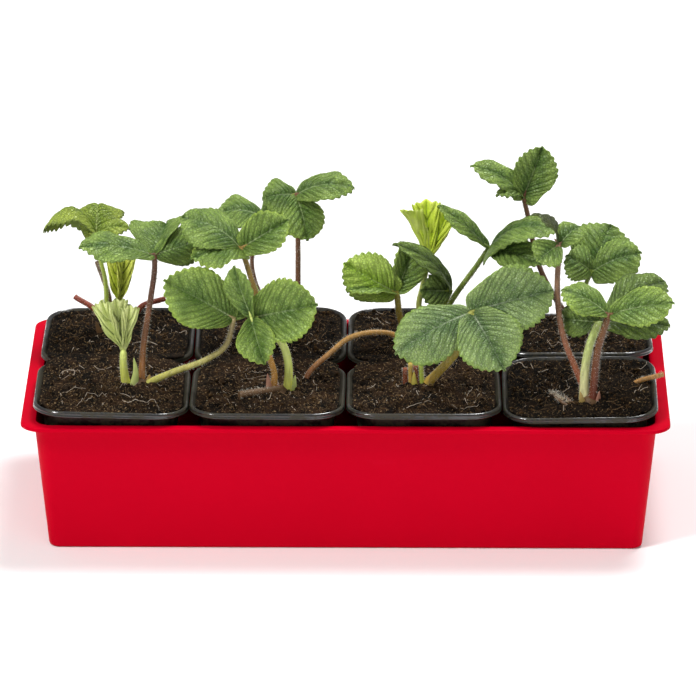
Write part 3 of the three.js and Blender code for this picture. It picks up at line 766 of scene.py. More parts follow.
def ring_shell(rings: Sequence[Ring], closed: bool, steps: int = 8) -> BMesh:
    """Extrudes one rounded ring through a list of rings.

    Args:
        rings: the rings in order.
        closed: whether the last ring meets the first, or each is capped.
        steps: the number of straight steps round each corner.

    Returns:
        The shell.
    """
    bm = bmesh.new()
    number = bm.verts.layers.int.new("number")
    around = 4 * (steps + 1)
    made = bmesh.ops.create_circle(bm, cap_ends=not closed, segments=around, radius=1.0)["verts"]
    for i, vert in enumerate(made):
        vert[number] = i
    # The circle's corners run clockwise or not, so the order is read once from where they lie.
    backwards = made[0].co.cross(made[1].co).z < 0
    edges = list(bm.edges)
    for level, ring in enumerate(rings):
        if level:
            edges, made = grow(bm, edges)
        for vert in made:
            place = -vert[number] % around if backwards else vert[number]
            vert.co = ring.point(place // (steps + 1), place % (steps + 1) / steps)
    if closed:
        bmesh.ops.remove_doubles(bm, verts=list(bm.verts), dist=1e-4)
    else:
        bmesh.ops.contextual_create(bm, geom=edges)
    close_up(bm)
    return bm


@dataclass(frozen=True)
class Trough:
    """The red trough: a tapered box in thin plastic with a flat rim all round."""

    length: float = 371.0
    depth: float = 184.0
    height: float = 78.0
    wall: float = 1.2
    rim_at_ends: float = 7.5
    rim_at_sides: float = 6.0
    rim_thick: float = 1.4
    taper: float = 7.5
    rim_corner: float = 13.0
    top_corner: float = 10.0
    bottom_corner: float = 6.0
    fillet: float = 1.6
    sharp_angle: float = 40.0

    def wall_ring(self, inset: float, z: float) -> Ring:
        """Gives the ring of the wall at a height.

        Args:
            inset: how far inside the outer face.
            z: the height.

        Returns:
            The ring.
        """
        share = z / self.height
        lean = self.taper * (1 - share) + inset
        corner = self.bottom_corner + (self.top_corner - self.bottom_corner) * share - inset / 2
        half_x = self.length / 2 - self.rim_at_ends - lean
        half_y = self.depth / 2 - self.rim_at_sides - lean
        return Ring(half_x, half_y, corner, z)

    def rim_ring(self, inset: float, z: float) -> Ring:
        """Gives a ring of the rim, inset from its edge."""
        return Ring(self.length / 2 - inset, self.depth / 2 - inset, self.rim_corner - inset, z)

    def build(self, finishes: Finishes) -> None:
        """Builds the trough.

        Args:
            finishes: the materials.
        """
        top, wall = self.height, self.wall
        under = top - self.rim_thick
        # Each ring of the wall's outside, of the rim and of the inside: its inset and its height.
        outside = ((3.0, 0.0), (1.0, 0.25), (0.25, 0.9), (0.0, 2.2), (0.0, under - self.fillet))
        fillet = ((-0.35, under - 0.5), (-self.fillet, under))
        rim_under = ((0.5, under - 0.05), (0.3, under - 0.7), (0.0, under - 0.5))
        rim_top = ((0.0, top - 0.7), (0.25, top - 0.2), (0.8, top))
        lip = ((wall - 0.9, top), (wall - 0.2, top - 0.25), (wall, top - 1.0))
        inside = ((wall, wall + 1.5), (wall + 0.6, wall + 0.35), (wall + 2.0, wall))
        rings = [self.wall_ring(*place) for place in outside + fillet]
        rings += [self.rim_ring(*place) for place in rim_under + rim_top]
        rings += [self.wall_ring(*place) for place in lip + inside]
        bm = ring_shell(rings, closed=False)
        piece = make_piece(bm, "crimson_trough", [finishes.plain(Finish.TROUGH)], ["trough"])
        piece.data.set_sharp_from_angle(angle=math.radians(self.sharp_angle))


@dataclass(frozen=True)
class NurseryPot:
    """A square nursery pot, thermoformed from black sheet, with a rolled lip."""

    rim: float = 89.0
    height: float = 83.5
    rim_corner: float = 19.0
    lip: float = 3.2
    body_top: float = 79.4
    body_bottom: float = 58.0
    body_corner_top: float = 15.0
    body_corner_bottom: float = 10.0
    wall: float = 1.1
    lip_inset: float = 2.0
    drain_radius: float = 6.0
    pitch: float = 89.5
    gap: float = 0.3  # what is left free between two things that touch
    sharp_angle: float = 50.0

    def half(self, z: float) -> float:
        """Gives half the body's width at a height."""
        return (self.body_bottom + (self.body_top - self.body_bottom) * z / self.height) / 2

    def corner(self, z: float) -> float:
        """Gives the body's corner radius at a height."""
        share = z / self.height
        return self.body_corner_bottom + (self.body_corner_top - self.body_corner_bottom) * share

    def body_ring(self, inset: float, z: float) -> Ring:
        """Gives a ring of the body, inset from its outer face."""
        half = self.half(z) - inset
        return Ring(half, half, self.corner(z) - inset, z)

    def rim_ring(self, inset: float, z: float) -> Ring:
        """Gives a ring of the lip, inset from its outer face."""
        half = self.rim / 2 - inset
        return Ring(half, half, self.rim_corner - inset, z)

    def build(self, key: str, place: Matrix, finishes: Finishes) -> None:
        """Builds one pot.

        Args:
            key: the pot's letter.
            place: where it stands.
            finishes: the materials.
        """
        top, wall = self.height, self.wall
        under = top - self.lip
        drain = [Ring(self.drain_radius, self.drain_radius, self.drain_radius, z) for z in (wall, 0.0)]
        # Each ring of the outside, of the lip and of the inside: its inset and its height.
        outside = ((1.2, 0.0), (0.3, 0.35), (0.0, 1.2), (0.0, under - 0.6))
        skirt = ((1.2, under + 0.1), (0.25, under), (0.0, under + 0.3), (0.05, under + 0.7))
        band = ((0.4, under + 1.2), (0.4, top - 1.5), (0.2, top - 1.15), (0.4, top - 0.75))
        crest = ((0.85, top - 0.28), (1.3, top), (1.7, top - 0.05), (self.lip_inset, top - 0.4))
        inside = ((wall, under), (wall, wall + 1.5), (wall + 1.5, wall))
        rings = drain + [self.body_ring(*at) for at in outside]
        rings += [self.rim_ring(*at) for at in skirt + band + crest]
        rings += [self.body_ring(*at) for at in inside] + drain[:1]
        bm = ring_shell(rings, closed=True)
        piece = make_piece(
            bm, f"nursery_pot_{key}", [finishes.plain(Finish.POT)], [f"pot_{key}"], place
        )
        piece.data.set_sharp_from_angle(angle=math.radians(self.sharp_angle))


POT = NurseryPot()


@dataclass(frozen=True)
class Spill:
    """The ridge of peat over the rims where two pots meet."""

    half_length: float = 40.0
    width: float = 11.6
    over_rim: float = 6.6  # the part of its width that lies on the rim
    over: float = 2.6  # its greatest height over the rim, before its lumps
    depth: float = 3.4  # how deep the rest of its width reaches into the bed
    dip: float = 1.5  # how far its edge sinks on the bed's side
    dip_reach: float = 0.6  # how far from that edge it sinks, as a share of half its width
    lumpy: float = 0.7

    LUMPS = (8.0, 2.2)  # how many lumps lie in half its length and half its width
    LUMP_NOISE = (0.7, 2.2, 5)  # how fast the steps fade, how much finer each is, and their number

    def outer(self, x: float) -> float:
        """Gives where the ridge ends at a place along it: it turns with the rim at the corners."""
        straight = POT.rim / 2 - POT.rim_corner
        past = max(0.0, abs(x) - straight)
        return straight + math.sqrt(POT.rim_corner**2 - past**2) + 0.1

    def rise(self, u: float, v: float, key: str) -> float:
        """Gives the height of the ridge over the rim.

        Args:
            u: from -1 to 1 along the ridge.
            v: from -1 at the bed to 1 over the rim.
            key: the pot's letter.

        Returns:
            The height.
        """
        spot = Vector((u * self.LUMPS[0], v * self.LUMPS[1], ord(key)))
        lump = noise.fractal(spot, *self.LUMP_NOISE)
        along = max(0.0, 1 - abs(u + 0.12 * lump) ** 2.6) ** 0.5
        across = math.sin(math.pi / 2 * (v + 1.15) / 2.15)
        sunk = self.dip * max(0.0, self.dip_reach - 1 - v) / self.dip_reach
        return max(0.05, self.over * along * across * (1.0 + self.lumpy * lump)) - sunk

    def add_to(self, bm: BMesh, key: str, side: int) -> None:
        """Adds the ridge to a bed of peat, as a closed lump.

        Args:
            bm: the bed's mesh.
            key: the pot's letter.
            side: 1 for the pot's back rim, -1 for its front rim.
        """
        made = bmesh.ops.create_grid(bm, x_segments=88, y_segments=18, size=1.0)["verts"]
        faces = list({f for v in made for f in v.link_faces})
        top = POT.height + POT.gap
        for vert in made:
            u, v = vert.co.x, vert.co.y
            x = u * self.half_length
            y = self.outer(x) - self.width * (1 - v) / 2
            vert.co = Vector((x, side * y, top + self.rise(u, v, key)))
        grown = bmesh.ops.extrude_face_region(bm, geom=faces, use_keep_orig=True)["geom"]
        for vert in (g for g in grown if isinstance(g, BMVert)):
            inside = abs(vert.co.y) < self.outer(vert.co.x) - self.over_rim
            vert.co.z = top - (self.depth if inside else -0.05)


@dataclass(frozen=True)
class PeatBed:
    """The peat in one pot, in the pot's own frame."""

    key: str
    crown: Vector
    spilled: bool
    side: int
    moist: bool
    below: float = 0.9  # how far the edge lies under the pot's rim
    bump: float = 1.1  # how high its slow waves are
    heap: float = 0.9  # how far its middle stands over its edge
    mound: float = 1.2
    mound_reach: float = 24.0
    cells: int = 92
    clod: float = 2.4
    clod_size: float = 5.0
    crumbs: int = 760
    fibres: int = 70
    flecks: int = 90
    roots: int = 6

    WAVE_TURNS = (0.31, 0.27, 0.19)  # radians for each millimetre
    PHASE_STEP = 1.7
    CLOD_NOISE = (0.7, 2.3, 5)  # how fast the steps fade, how much finer each is, and their number
    MORE_ROOTS = {"a": 14, "b": 8, "d": 8}  # the beds with more pale roots than the usual few

    @property
    def edge(self) -> Ring:
        """The ring where the peat meets the pot's funnel."""
        z = POT.height - self.below
        under = POT.height - POT.lip
        rise = (z - under) / POT.lip
        inner = POT.half(under) - POT.wall
        outer = POT.rim / 2 - POT.lip_inset
        half = inner + (outer - inner) * rise - POT.gap
        corner = POT.corner(under) - POT.wall
        return Ring(half, half, corner + (POT.rim_corner - POT.lip_inset - corner) * rise, z)

    def height(self, x: float, y: float) -> float:
        """Gives the height of the bed.

        Args:
            x: across the pot.
            y: along the pot.

        Returns:
            The height over the pot's underside.
        """
        edge = self.edge
        share = min(1.0, max(abs(x), abs(y)) / edge.half_x)
        phase = ord(self.key) * self.PHASE_STEP
        turn_x, turn_y, turn_both = self.WAVE_TURNS
        waves = math.sin(x * turn_x + phase) + math.sin(y * turn_y - 2 * phase)
        waves += math.sin((x + y) * turn_both + 3 * phase)
        away = math.hypot(x - self.crown.x, y - self.crown.y)
        mound = self.mound * math.exp(-((away / self.mound_reach) ** 2))
        spot = Vector((x, y, phase)) / self.clod_size
        lumps = noise.fractal(spot, *self.CLOD_NOISE) * self.clod
        heap = (1 - share**3) * (self.heap + self.bump * waves / 3)
        fade = min(1.0, (1 - share) * 10)
        return edge.z + heap + mound + lumps * (0.35 + 0.65 * fade)

    def build(self, place: Matrix, finishes: Finishes) -> None:
        """Builds the bed, its crumbs, fibres and fine roots.

        Args:
            place: where the pot stands.
            finishes: the materials.
        """
        rng = random.Random(f"peat {self.key}")
        peat = finishes.plain(Finish.MOIST_PEAT if self.moist else Finish.PEAT)
        make_piece(self._bed(), f"peat_bed_{self.key}", [peat], [f"peat_{self.key}"], place)
        crumb = finishes.plain(Finish.CRUMB)
        make_piece(self._crumbs(rng), f"peat_crumbs_{self.key}", [crumb], place=place)
        threads = [finishes.plain(Finish.FIBRE), finishes.plain(Finish.ROOT)]
        make_piece(self._threads(rng), f"peat_fibres_{self.key}", threads, place=place)

    def _bed(self) -> BMesh:
        """Makes the bed, a closed lump with a rough top, and the spilled ridge."""
        bm = bmesh.new()
        unit_x = bm.verts.layers.float.new("unit_x")
        unit_y = bm.verts.layers.float.new("unit_y")
        grid = bmesh.ops.create_grid(bm, x_segments=self.cells, y_segments=self.cells, size=1.0)
        edge = self.edge
        for vert in grid["verts"]:
            vert[unit_x], vert[unit_y] = vert.co.x, vert.co.y
            x, y = edge.rounded(vert.co.x, vert.co.y)
            vert.co = Vector((x, y, self.height(x, y)))
        edges = [e for e in bm.edges if e.is_boundary]
        under = POT.height - POT.lip
        inset = POT.wall + POT.gap
        for ring in (POT.body_ring(inset, under - 0.5), POT.body_ring(inset, POT.wall + POT.gap)):
            edges, verts = grow(bm, edges)
            for vert in verts:
                vert.co = Vector((*ring.rounded(vert[unit_x], vert[unit_y]), ring.z))
        bmesh.ops.contextual_create(bm, geom=edges)
        if self.spilled:
            Spill().add_to(bm, self.key, self.side)
        close_up(bm)
        return bm

    def _on_bed(self, rng: random.Random, reach: float = 0.97) -> Vector:
        """Picks a place on the bed.

        Args:
            rng: the random numbers.
            reach: how far out, as a share of the half width.

        Returns:
            The point on the peat.
        """
        half = self.edge.half_x * reach
        x, y = Ring(half, half, self.edge.corner, 0).rounded(rng.uniform(-1, 1), rng.uniform(-1, 1))
        return Vector((x, y, self.height(x, y)))

    def _crumbs(self, rng: random.Random) -> BMesh:
        """Makes the loose crumbs: small lumps, squashed and turned at random."""
        bm = bmesh.new()
        for _ in range(self.crumbs):
            size = 0.35 + 1.05 * rng.random() ** 4
            wide, tall = rng.uniform(0.7, 1.5), rng.uniform(0.5, 0.9)
            squash = Matrix.Diagonal((size * wide, size, size * tall, 1))
            turn = Matrix.Rotation(rng.uniform(0, math.tau), 4, Vector((rng.random(), rng.random(), 1)))
            point = self._on_bed(rng) + Vector((0, 0, 0.25 * size))
            place = Matrix.Translation(point) @ turn @ squash
            bmesh.ops.create_icosphere(bm, subdivisions=1, radius=1.0, matrix=place)
        return bm

    def _threads(self, rng: random.Random) -> BMesh:
        """Makes the tan fibres, the short flecks and the pale roots that lie on the bed."""
        bm = bmesh.new()
        for _ in range(self.fibres):
            self._thread(bm, rng, rng.uniform(3, 12), rng.uniform(0.06, 0.14), 0)
        for _ in range(self.flecks):
            self._thread(bm, rng, rng.uniform(0.6, 2.2), rng.uniform(0.12, 0.24), rng.randrange(2))
        for _ in range(self.MORE_ROOTS.get(self.key, self.roots)):
            self._thread(bm, rng, rng.uniform(10, 30), rng.uniform(0.14, 0.24), 1)
        close_up(bm)
        return bm

    def _thread(
        self, bm: BMesh, rng: random.Random, length: float, radius: float, material: int
    ) -> None:
        """Adds one thread that wanders over the bed.

        Args:
            bm: the mesh to add to.
            rng: the random numbers.
            length: its length.
            radius: its half thickness.
            material: the number of its material.
        """
        point = self._on_bed(rng, 0.85)
        limit = self.edge.half_x * 0.96
        heading = rng.uniform(0, math.tau)
        bend = rng.uniform(-0.35, 0.35)
        steps = max(2, round(length / 2.2))
        step = length / steps
        path = []
        for _ in range(steps + 1):
            lift = radius + rng.uniform(0.0, 0.9)
            path.append(Vector((point.x, point.y, self.height(point.x, point.y) + lift)))
            point += Vector((math.cos(heading), math.sin(heading), 0)) * step
            point.x = max(-limit, min(limit, point.x))
            point.y = max(-limit, min(limit, point.y))
            heading += bend + rng.uniform(-0.35, 0.35)
        for face in sweep(bm, path, taper(len(path), radius, radius * 0.4), 4):
            face.material_index = material


@dataclass(frozen=True)
class Leaflet:
    """One leaflet of a leaf, measured from the plant's crown."""

    tip: Triple
    width: float
    faces: Triple  # the direction that its upper face looks in
    fold: float  # degrees that each half rises from the midrib; under 0 they droop
    arch: float  # how far its middle bows up
    tone: LeafTone = LeafTone.MID
    base: float = 0.6  # how blunt it is at the stalk: the smaller, the blunter
    lobe: float = 0.05  # how far its margin runs back beside the stalk, as a share of its length


@dataclass(frozen=True)
class Leaf:
    """A leaf: the way of its stalk, the stalk's radius and tone, and its leaflets."""

    name: str
    stalk: list[Triple]
    radius: float
    rind: StalkTone
    leaflets: list[Leaflet]
    young: bool = False


@dataclass(frozen=True)
class Sheath:
    """A papery sheath at a stalk's foot."""

    path: list[Triple]
    tone: SheathTone = SheathTone.CROWN


@dataclass(frozen=True)
class Stub:
    """A cut stem: its way, radius and rind."""

    path: list[Triple]
    radius: float
    rind: StalkTone = StalkTone.DEAD


@dataclass(frozen=True)
class Habit:
    """What a full-grown leaflet and a young, still folded one differ in."""

    rows_per_tooth: int = 5
    pleat_mm: float = 1.8
    cut_back: float = 0.6  # how far a notch runs towards the stalk, as a share of its depth
    foot_power: float = 2.2  # how near the stalk the side veins start: the greater, the nearer


@dataclass(frozen=True)
class Blade:
    """The form of one leaflet in its own frame: +Y to the tip, +Z out of its upper face."""

    length: float
    leaflet: Leaflet
    young: bool
    seed: float

    STALK_HALF = 0.9
    PEAK = 0.57  # where along a full-grown leaflet it is widest
    CORNER = 0.95  # where a young leaflet's straight sides end
    CELLS_ACROSS = 20
    TOOTH_MM = 3.1
    TOOTH_POINT = 0.62  # where along a tooth its point is: past the middle, so that it hooks forward
    NOTCH_MM = 0.6
    NOTCH_SHARE = 0.036  # what a notch's depth gains with the leaflet's width
    WAVE_MM = 3.0
    WAVE_LENGTH = 9.0
    VALLEY_MM = 0.9
    VALLEY_HALF = 1.5
    THICK_MM = 0.42
    MARGIN_THINNER = 0.14
    RIB_MM = 0.55
    RIB_HALF = 0.06  # half the rib's width, as a share of the blade's half width
    VEIN_MM = 0.18
    FOLDED_TEETH = 4.5
    FEWEST_TEETH, MOST_TEETH = 6, 12
    WEDGE_FOOT, WEDGE_GAIN = 0.24, 0.86  # a young leaflet's width at its foot, and how it grows
    TIP_POWER = 0.62  # how blunt a full-grown leaflet's tip is
    TEETH_FROM, TEETH_RAMP = 0.1, 0.16  # the row where the teeth begin, and over how many they grow
    LOBE_AT, LOBE_REACH = 0.09, 0.1  # where the margin runs back beside the stalk, and how far
    BOW = 0.035  # how far the side veins bow towards the stalk, as a share of the length
    FULL_GROWN = Habit()
    FOLDED = Habit(9, 3.0, 1.5, 2.6)

    @property
    def habit(self) -> Habit:
        """The form that goes with its age."""
        return self.FOLDED if self.young else self.FULL_GROWN

    @property
    def teeth(self) -> float:
        """The number of teeth on each side, with half of the one at the tip."""
        if self.young:
            return self.FOLDED_TEETH
        wanted = round(self.leaflet.width / self.TOOTH_MM)
        return max(self.FEWEST_TEETH, min(self.MOST_TEETH, wanted)) + 0.5

    def outline(self, share: float) -> float:
        """Gives the half width at a share of the length, as a share of the greatest."""
        if self.young:
            wedge = min(1.0, self.WEDGE_FOOT + self.WEDGE_GAIN * share)
            top = max(0.0, share - self.CORNER) / (1 - self.CORNER)
            return wedge * (1 - top) ** 0.6
        bulge = math.sin(math.pi * share ** (math.log(0.5) / math.log(self.PEAK)))
        return max(0.0, bulge) ** (self.leaflet.base if share < self.PEAK else self.TIP_POWER)

    def along(self, row: float) -> float:
        """Gives how far along the leaflet its margin is at a row."""
        if self.young:
            return self.CORNER * min(1.0, row / 0.5) + (1 - self.CORNER) * max(0.0, 2 * row - 1) ** 1.3
        return 1 - (1 - row) ** 1.42

    def notch(self, row: float) -> float:
        """Gives how deep the margin is cut at a row, from 0 at a tooth's point to 1 in a notch."""
        tooth = row * self.teeth % 1.0
        if tooth < self.TOOTH_POINT:
            out = tooth / self.TOOTH_POINT
        else:
            out = (1 - tooth) / (1 - self.TOOTH_POINT)
        ramp = min(1.0, max(0.0, (row - self.TEETH_FROM) / self.TEETH_RAMP))
        uneven = 0.7 + 0.3 * math.sin(9 * row + self.seed)
        return (1 - math.sin(math.pi / 2 * out) ** 0.8) * ramp * uneven

    def off_vein(self, row: float) -> float:
        """Gives how far a row is from a side vein, from 0 on one to 1 midway between two."""
        return abs(math.cos(math.pi * row * self.teeth))

    def pleat(self, row: float, side: float) -> float:
        """Gives how far the blade stands up between two side veins.

        Args:
            row: from 0 at the stalk to 1 at the tip.
            side: from 0 at the midrib to 1 at the margin.

        Returns:
            The height in millimetres.
        """
        between = self.off_vein(row) ** 0.6
        reach = side**0.5 * (1 - 0.5 * side**4)
        return self.habit.pleat_mm * between * reach * min(1.0, row * 5)

    def point(self, across: float, row: float) -> Vector:
        """Gives a point of the blade.

        Args:
            across: from -1 at the left margin to 1 at the right margin.
            row: from 0 at the stalk to 1 at the tip, counted along the side veins' ends.

        Returns:
            The point in the leaflet's own frame.
        """
        form, habit = self.leaflet, self.habit
        side = abs(across)
        share = self.along(row)
        depth = (self.NOTCH_MM + self.NOTCH_SHARE * form.width) * self.notch(row)
        half = max(self.STALK_HALF, form.width / 2 * self.outline(share) - depth)
        at_lobe = math.exp(-(((share - self.LOBE_AT) / self.LOBE_REACH) ** 2))
        lobe = 0.0 if self.young else form.lobe * self.length * at_lobe
        margin = self.length * share - habit.cut_back * depth - lobe
        early = row**habit.foot_power
        foot = self.length * (early + (1 - early) * row**12)
        bow = self.BOW * self.length * math.sin(math.pi * side) * (1 - row) * min(1.0, row * 4)
        reach = half * side
        y = foot + (margin - foot) * side - bow
        fold = math.radians(form.fold)
        curl = side ** (1.35 if form.fold < 0 else 1.12)
        x = math.copysign(reach * math.cos(fold), across)
        lift = half * math.sin(fold) * curl
        rise = 4 * form.arch * (y / self.length) * (1 - y / self.length)
        wave = noise.noise(Vector((x / self.WAVE_LENGTH, y / self.WAVE_LENGTH, self.seed)))
        valley = self.VALLEY_MM * math.exp(-((reach / self.VALLEY_HALF) ** 2)) * min(1.0, row * 5)
        height = lift + rise + wave * self.WAVE_MM * side**1.3 + self.pleat(row, side) - valley
        return Vector((x, y, height))

    def thickness(self, across: float, row: float) -> float:
        """Gives the blade's thickness, with ribs on its back under the veins."""
        side = abs(across)
        rib = self.RIB_MM * math.exp(-((side / self.RIB_HALF) ** 2)) * (1 - 0.6 * row)
        vein = self.VEIN_MM * (1 - self.off_vein(row)) ** 2
        return self.THICK_MM - self.MARGIN_THINNER * side**3 + rib + vein

    def add_to(self, bm: BMesh, place: Matrix, upper: int, lower: int) -> None:
        """Adds the blade to a leaf's mesh as a closed sheet.

        Args:
            bm: the leaf's mesh.
            place: the leaflet's place.
            upper: the number of the upper face's material.
            lower: the number of the lower face's material.
        """
        uv = bm.loops.layers.uv.verify()
        drop = bm.verts.layers.float_vector.get("drop") or bm.verts.layers.float_vector.new("drop")
        rows = round(self.teeth * self.habit.rows_per_tooth)
        cells = {"x_segments": self.CELLS_ACROSS, "y_segments": rows}
        made = bmesh.ops.create_grid(bm, size=1.0, calc_uvs=True, **cells)["verts"]
        faces = list({f for v in made for f in v.link_faces})
        thick = []
        for vert in made:
            across, row = vert.co.x, (vert.co.y + 1) / 2
            thick.append(self.thickness(across, row))
            vert.co = place @ self.point(across, row)
        bm.normal_update()
        for vert, depth in zip(made, thick):
            vert[drop] = -vert.normal * depth
        for face in faces:
            face.material_index = upper
            for loop in face.loops:
                loop[uv].uv.y *= self.teeth / Lamina.VEINS_PER_UV
        grown = bmesh.ops.extrude_face_region(bm, geom=faces, use_keep_orig=True)["geom"]
        for item in grown:
            if isinstance(item, BMVert):
                item.co += item[drop]
            elif isinstance(item, BMFace):
                item.material_index = lower


def leaflet_place(hub: Vector, leaflet: Leaflet) -> Matrix:
    """Gives the place of a leaflet from the leaf's hub to its tip.

    Args:
        hub: where the leaflets meet.
        leaflet: the leaflet.

    Returns:
        The matrix of its own frame.
    """
    along = (Vector(leaflet.tip) - hub).normalized()
    face = Vector(leaflet.faces)
    face = (face - along * face.dot(along)).normalized()
    side = along.cross(face)
    return Matrix.Translation(hub) @ Matrix((side, along, face)).transposed().to_4x4()


@dataclass(frozen=True)
class Hairs:
    """The silky hairs that stand out from a stalk."""

    length: float = 1.9
    foot_radius: float = 0.085
    shorter: float = 0.5  # the least and the greatest length, as shares of length
    longer: float = 1.15
    down: float = -0.25  # the least and the greatest lean along the stalk
    up: float = 0.45
    sunk: float = 0.95  # where a hair's foot is, as a share of the stalk's radius

    def add_to(
        self, bm: BMesh, way: Sequence[Vector], radius: float, count: int, rng: random.Random
    ) -> None:
        """Adds hairs to a stalk.

        Args:
            bm: the mesh to add to.
            way: the stalk's middle line.
            radius: the stalk's radius.
            count: how many hairs.
            rng: the random numbers.
        """
        for _ in range(count):
            i = rng.randrange(len(way) - 1)
            foot = way[i].lerp(way[i + 1], rng.random())
            along = (way[i + 1] - way[i]).normalized()
            out = Vector((rng.gauss(0, 1), rng.gauss(0, 1), rng.gauss(0, 1)))
            out = (out - along * out.dot(along)).normalized()
            lean = (out + along * rng.uniform(self.down, self.up)).normalized()
            tall = self.length * rng.uniform(self.shorter, self.longer)
            turn = lean.to_track_quat("Z", "Y").to_matrix().to_4x4()
            place = Matrix.Translation(foot + out * radius * self.sunk + lean * tall / 2) @ turn
            ends = {"radius1": self.foot_radius, "radius2": 0.0}
            bmesh.ops.create_cone(bm, cap_ends=True, segments=3, depth=tall, matrix=place, **ends)


def number_of(material: Material, materials: list[Material]) -> int:
    """Gives a material's number in a piece's list, which it joins if it isn't there."""
    if material not in materials:
        materials.append(material)
    return materials.index(material)


@dataclass
class Plant:
    """One strawberry plant: its crown, stalks, sheaths and leaves."""

    key: str
    crown: Triple
    crown_radius: float
    leaves: list[Leaf]
    sheaths: list[Sheath] = field(default_factory=list)
    cut_stems: list[Stub] = field(default_factory=list)
    collar: float = 3.0
    step: float = 2.5
    swell: float = 0.35  # how much thicker a stalk is where it leaves the crown
    swell_reach: float = 5.0
    stalk_end: float = 0.82  # a stalk's radius at the leaf, as a share of its radius
    sheath_half: float = 3.2
    hairs_per_mm: float = 8.0
    hairs_per_step_of_stub: int = 22
    pale_leaves: tuple[str, ...] = ("a_fan", "e_bud", "e_umbrella", "g_fan", "g_pale")

    @property
    def foot(self) -> Matrix:
        """The place of the crown."""
        return Matrix.Translation(self.crown)

    def build(self, finishes: Finishes) -> None:
        """Builds the plant.

        Args:
            finishes: the materials.
        """
        self._stalks(finishes)
        self._hairs(finishes)
        for leaf in self.leaves:
            self._leaf(leaf, finishes)

    def _way(self, leaf: Leaf) -> list[Vector]:
        """Gives the middle line of a leaf's stalk, from inside the crown to the collar."""
        hub = Vector(leaf.stalk[-1])
        end = hub + (Vector(leaf.stalk[-2]) - hub).normalized() * (self.collar - 0.8)
        return from_crown([*leaf.stalk[:-1], tuple(end)], self.step)

    def _stalks(self, finishes: Finishes) -> None:
        """Builds the crown, the stalks, the sheaths and the cut stems as one piece."""
        bm = bmesh.new()
        materials = [finishes.sheath(SheathTone.CROWN)]
        # The crown by its heights and its widths at them, as shares of its radius.
        crown = {-7.5: 0.55, -3: 0.85, 0: 0.95, 2: 0.85, 4: 0.6, 5.5: 0.2}
        middle = [Vector((0, 0, z)) for z in crown]
        sweep(bm, middle, [self.crown_radius * share for share in crown.values()], 14)
        for leaf in self.leaves:
            way = self._way(leaf)
            swollen = [1 + self.swell * math.exp(-max(0.0, p.z) / self.swell_reach) for p in way]
            slimmer = taper(len(way), 1.0, self.stalk_end)
            widths = [leaf.radius * s * w for s, w in zip(swollen, slimmer)]
            self._paint(sweep(bm, way, widths, 12), finishes.stalk(leaf.rind), materials)
        for stub in self.cut_stems:
            way = from_crown(stub.path, self.step)
            widths = taper(len(way), stub.radius, stub.radius * 0.9)
            self._paint(sweep(bm, way, widths, 10), finishes.stalk(stub.rind), materials)
        for sheath in self.sheaths:
            way = from_crown(sheath.path, 1.5)
            shares = taper(len(way), 1.0, 0.0)
            widths = [self.sheath_half * share**0.7 + 0.06 for share in shares]
            self._paint(sweep(bm, way, widths, 8, 0.35), finishes.sheath(sheath.tone), materials)
        close_up(bm)
        make_piece(bm, f"stalks_of_{self.key}", materials, [f"stems_{self.key}"], self.foot)

    def _paint(self, faces: Iterable[BMFace], material: Material, materials: list[Material]) -> None:
        """Gives faces a material of the piece's list, which it joins."""
        number = number_of(material, materials)
        for face in faces:
            face.material_index = number

    def _hairs(self, finishes: Finishes) -> None:
        """Builds the silky hairs that stand out from the stalks."""
        rng = random.Random(f"hairs {self.key}")
        bm = bmesh.new()
        hairs = Hairs()
        for leaf in self.leaves:
            way = [p for p in self._way(leaf) if p.z > 1]
            count = round(self.step * len(way) * self.hairs_per_mm)
            hairs.add_to(bm, way, leaf.radius * 0.88, count, rng)
        for stub in self.cut_stems:
            way = smooth_path(stub.path, self.step)
            hairs.add_to(bm, way, stub.radius * 0.9, self.hairs_per_step_of_stub * len(way), rng)
        make_piece(bm, f"hairs_of_{self.key}", [finishes.plain(Finish.HAIR)], place=self.foot)

    def _leaf(self, leaf: Leaf, finishes: Finishes) -> None:
        """Builds one leaf: its collar, the short stalks of its leaflets and their blades."""
        bm = bmesh.new()
        materials = [finishes.stalk(leaf.rind)]
        hub = Vector(leaf.stalk[-1])
        back = (Vector(leaf.stalk[-2]) - hub).normalized()
        collar = [hub + back * reach for reach in (self.collar, 1.6, 0.5, -0.5)]
        sweep(bm, collar, [leaf.radius * share for share in (0.84, 0.8, 0.65, 0.3)], 12)
        for number, leaflet in enumerate(leaf.leaflets):
            place = leaflet_place(hub, leaflet)
            length = (Vector(leaflet.tip) - hub).length
            seed = ord(self.key) * 7.3 + number * 3.1 + len(leaf.name)
            rib = [place @ Vector((0, y, -0.25)) for y in (-0.5, 2.0, 4.5)]
            sweep(bm, rib, [1.0, 0.85, 0.3], 8)
            upper, lower = (number_of(face, materials) for face in finishes.leaf(leaflet.tone))
            Blade(length, leaflet, leaf.young, seed).add_to(bm, place, upper, lower)
        close_up(bm)
        name = f"{self.key}_{leaf.name}"
        make_piece(bm, f"blades_{name}", materials, [f"leaf_{name}"], self.foot)


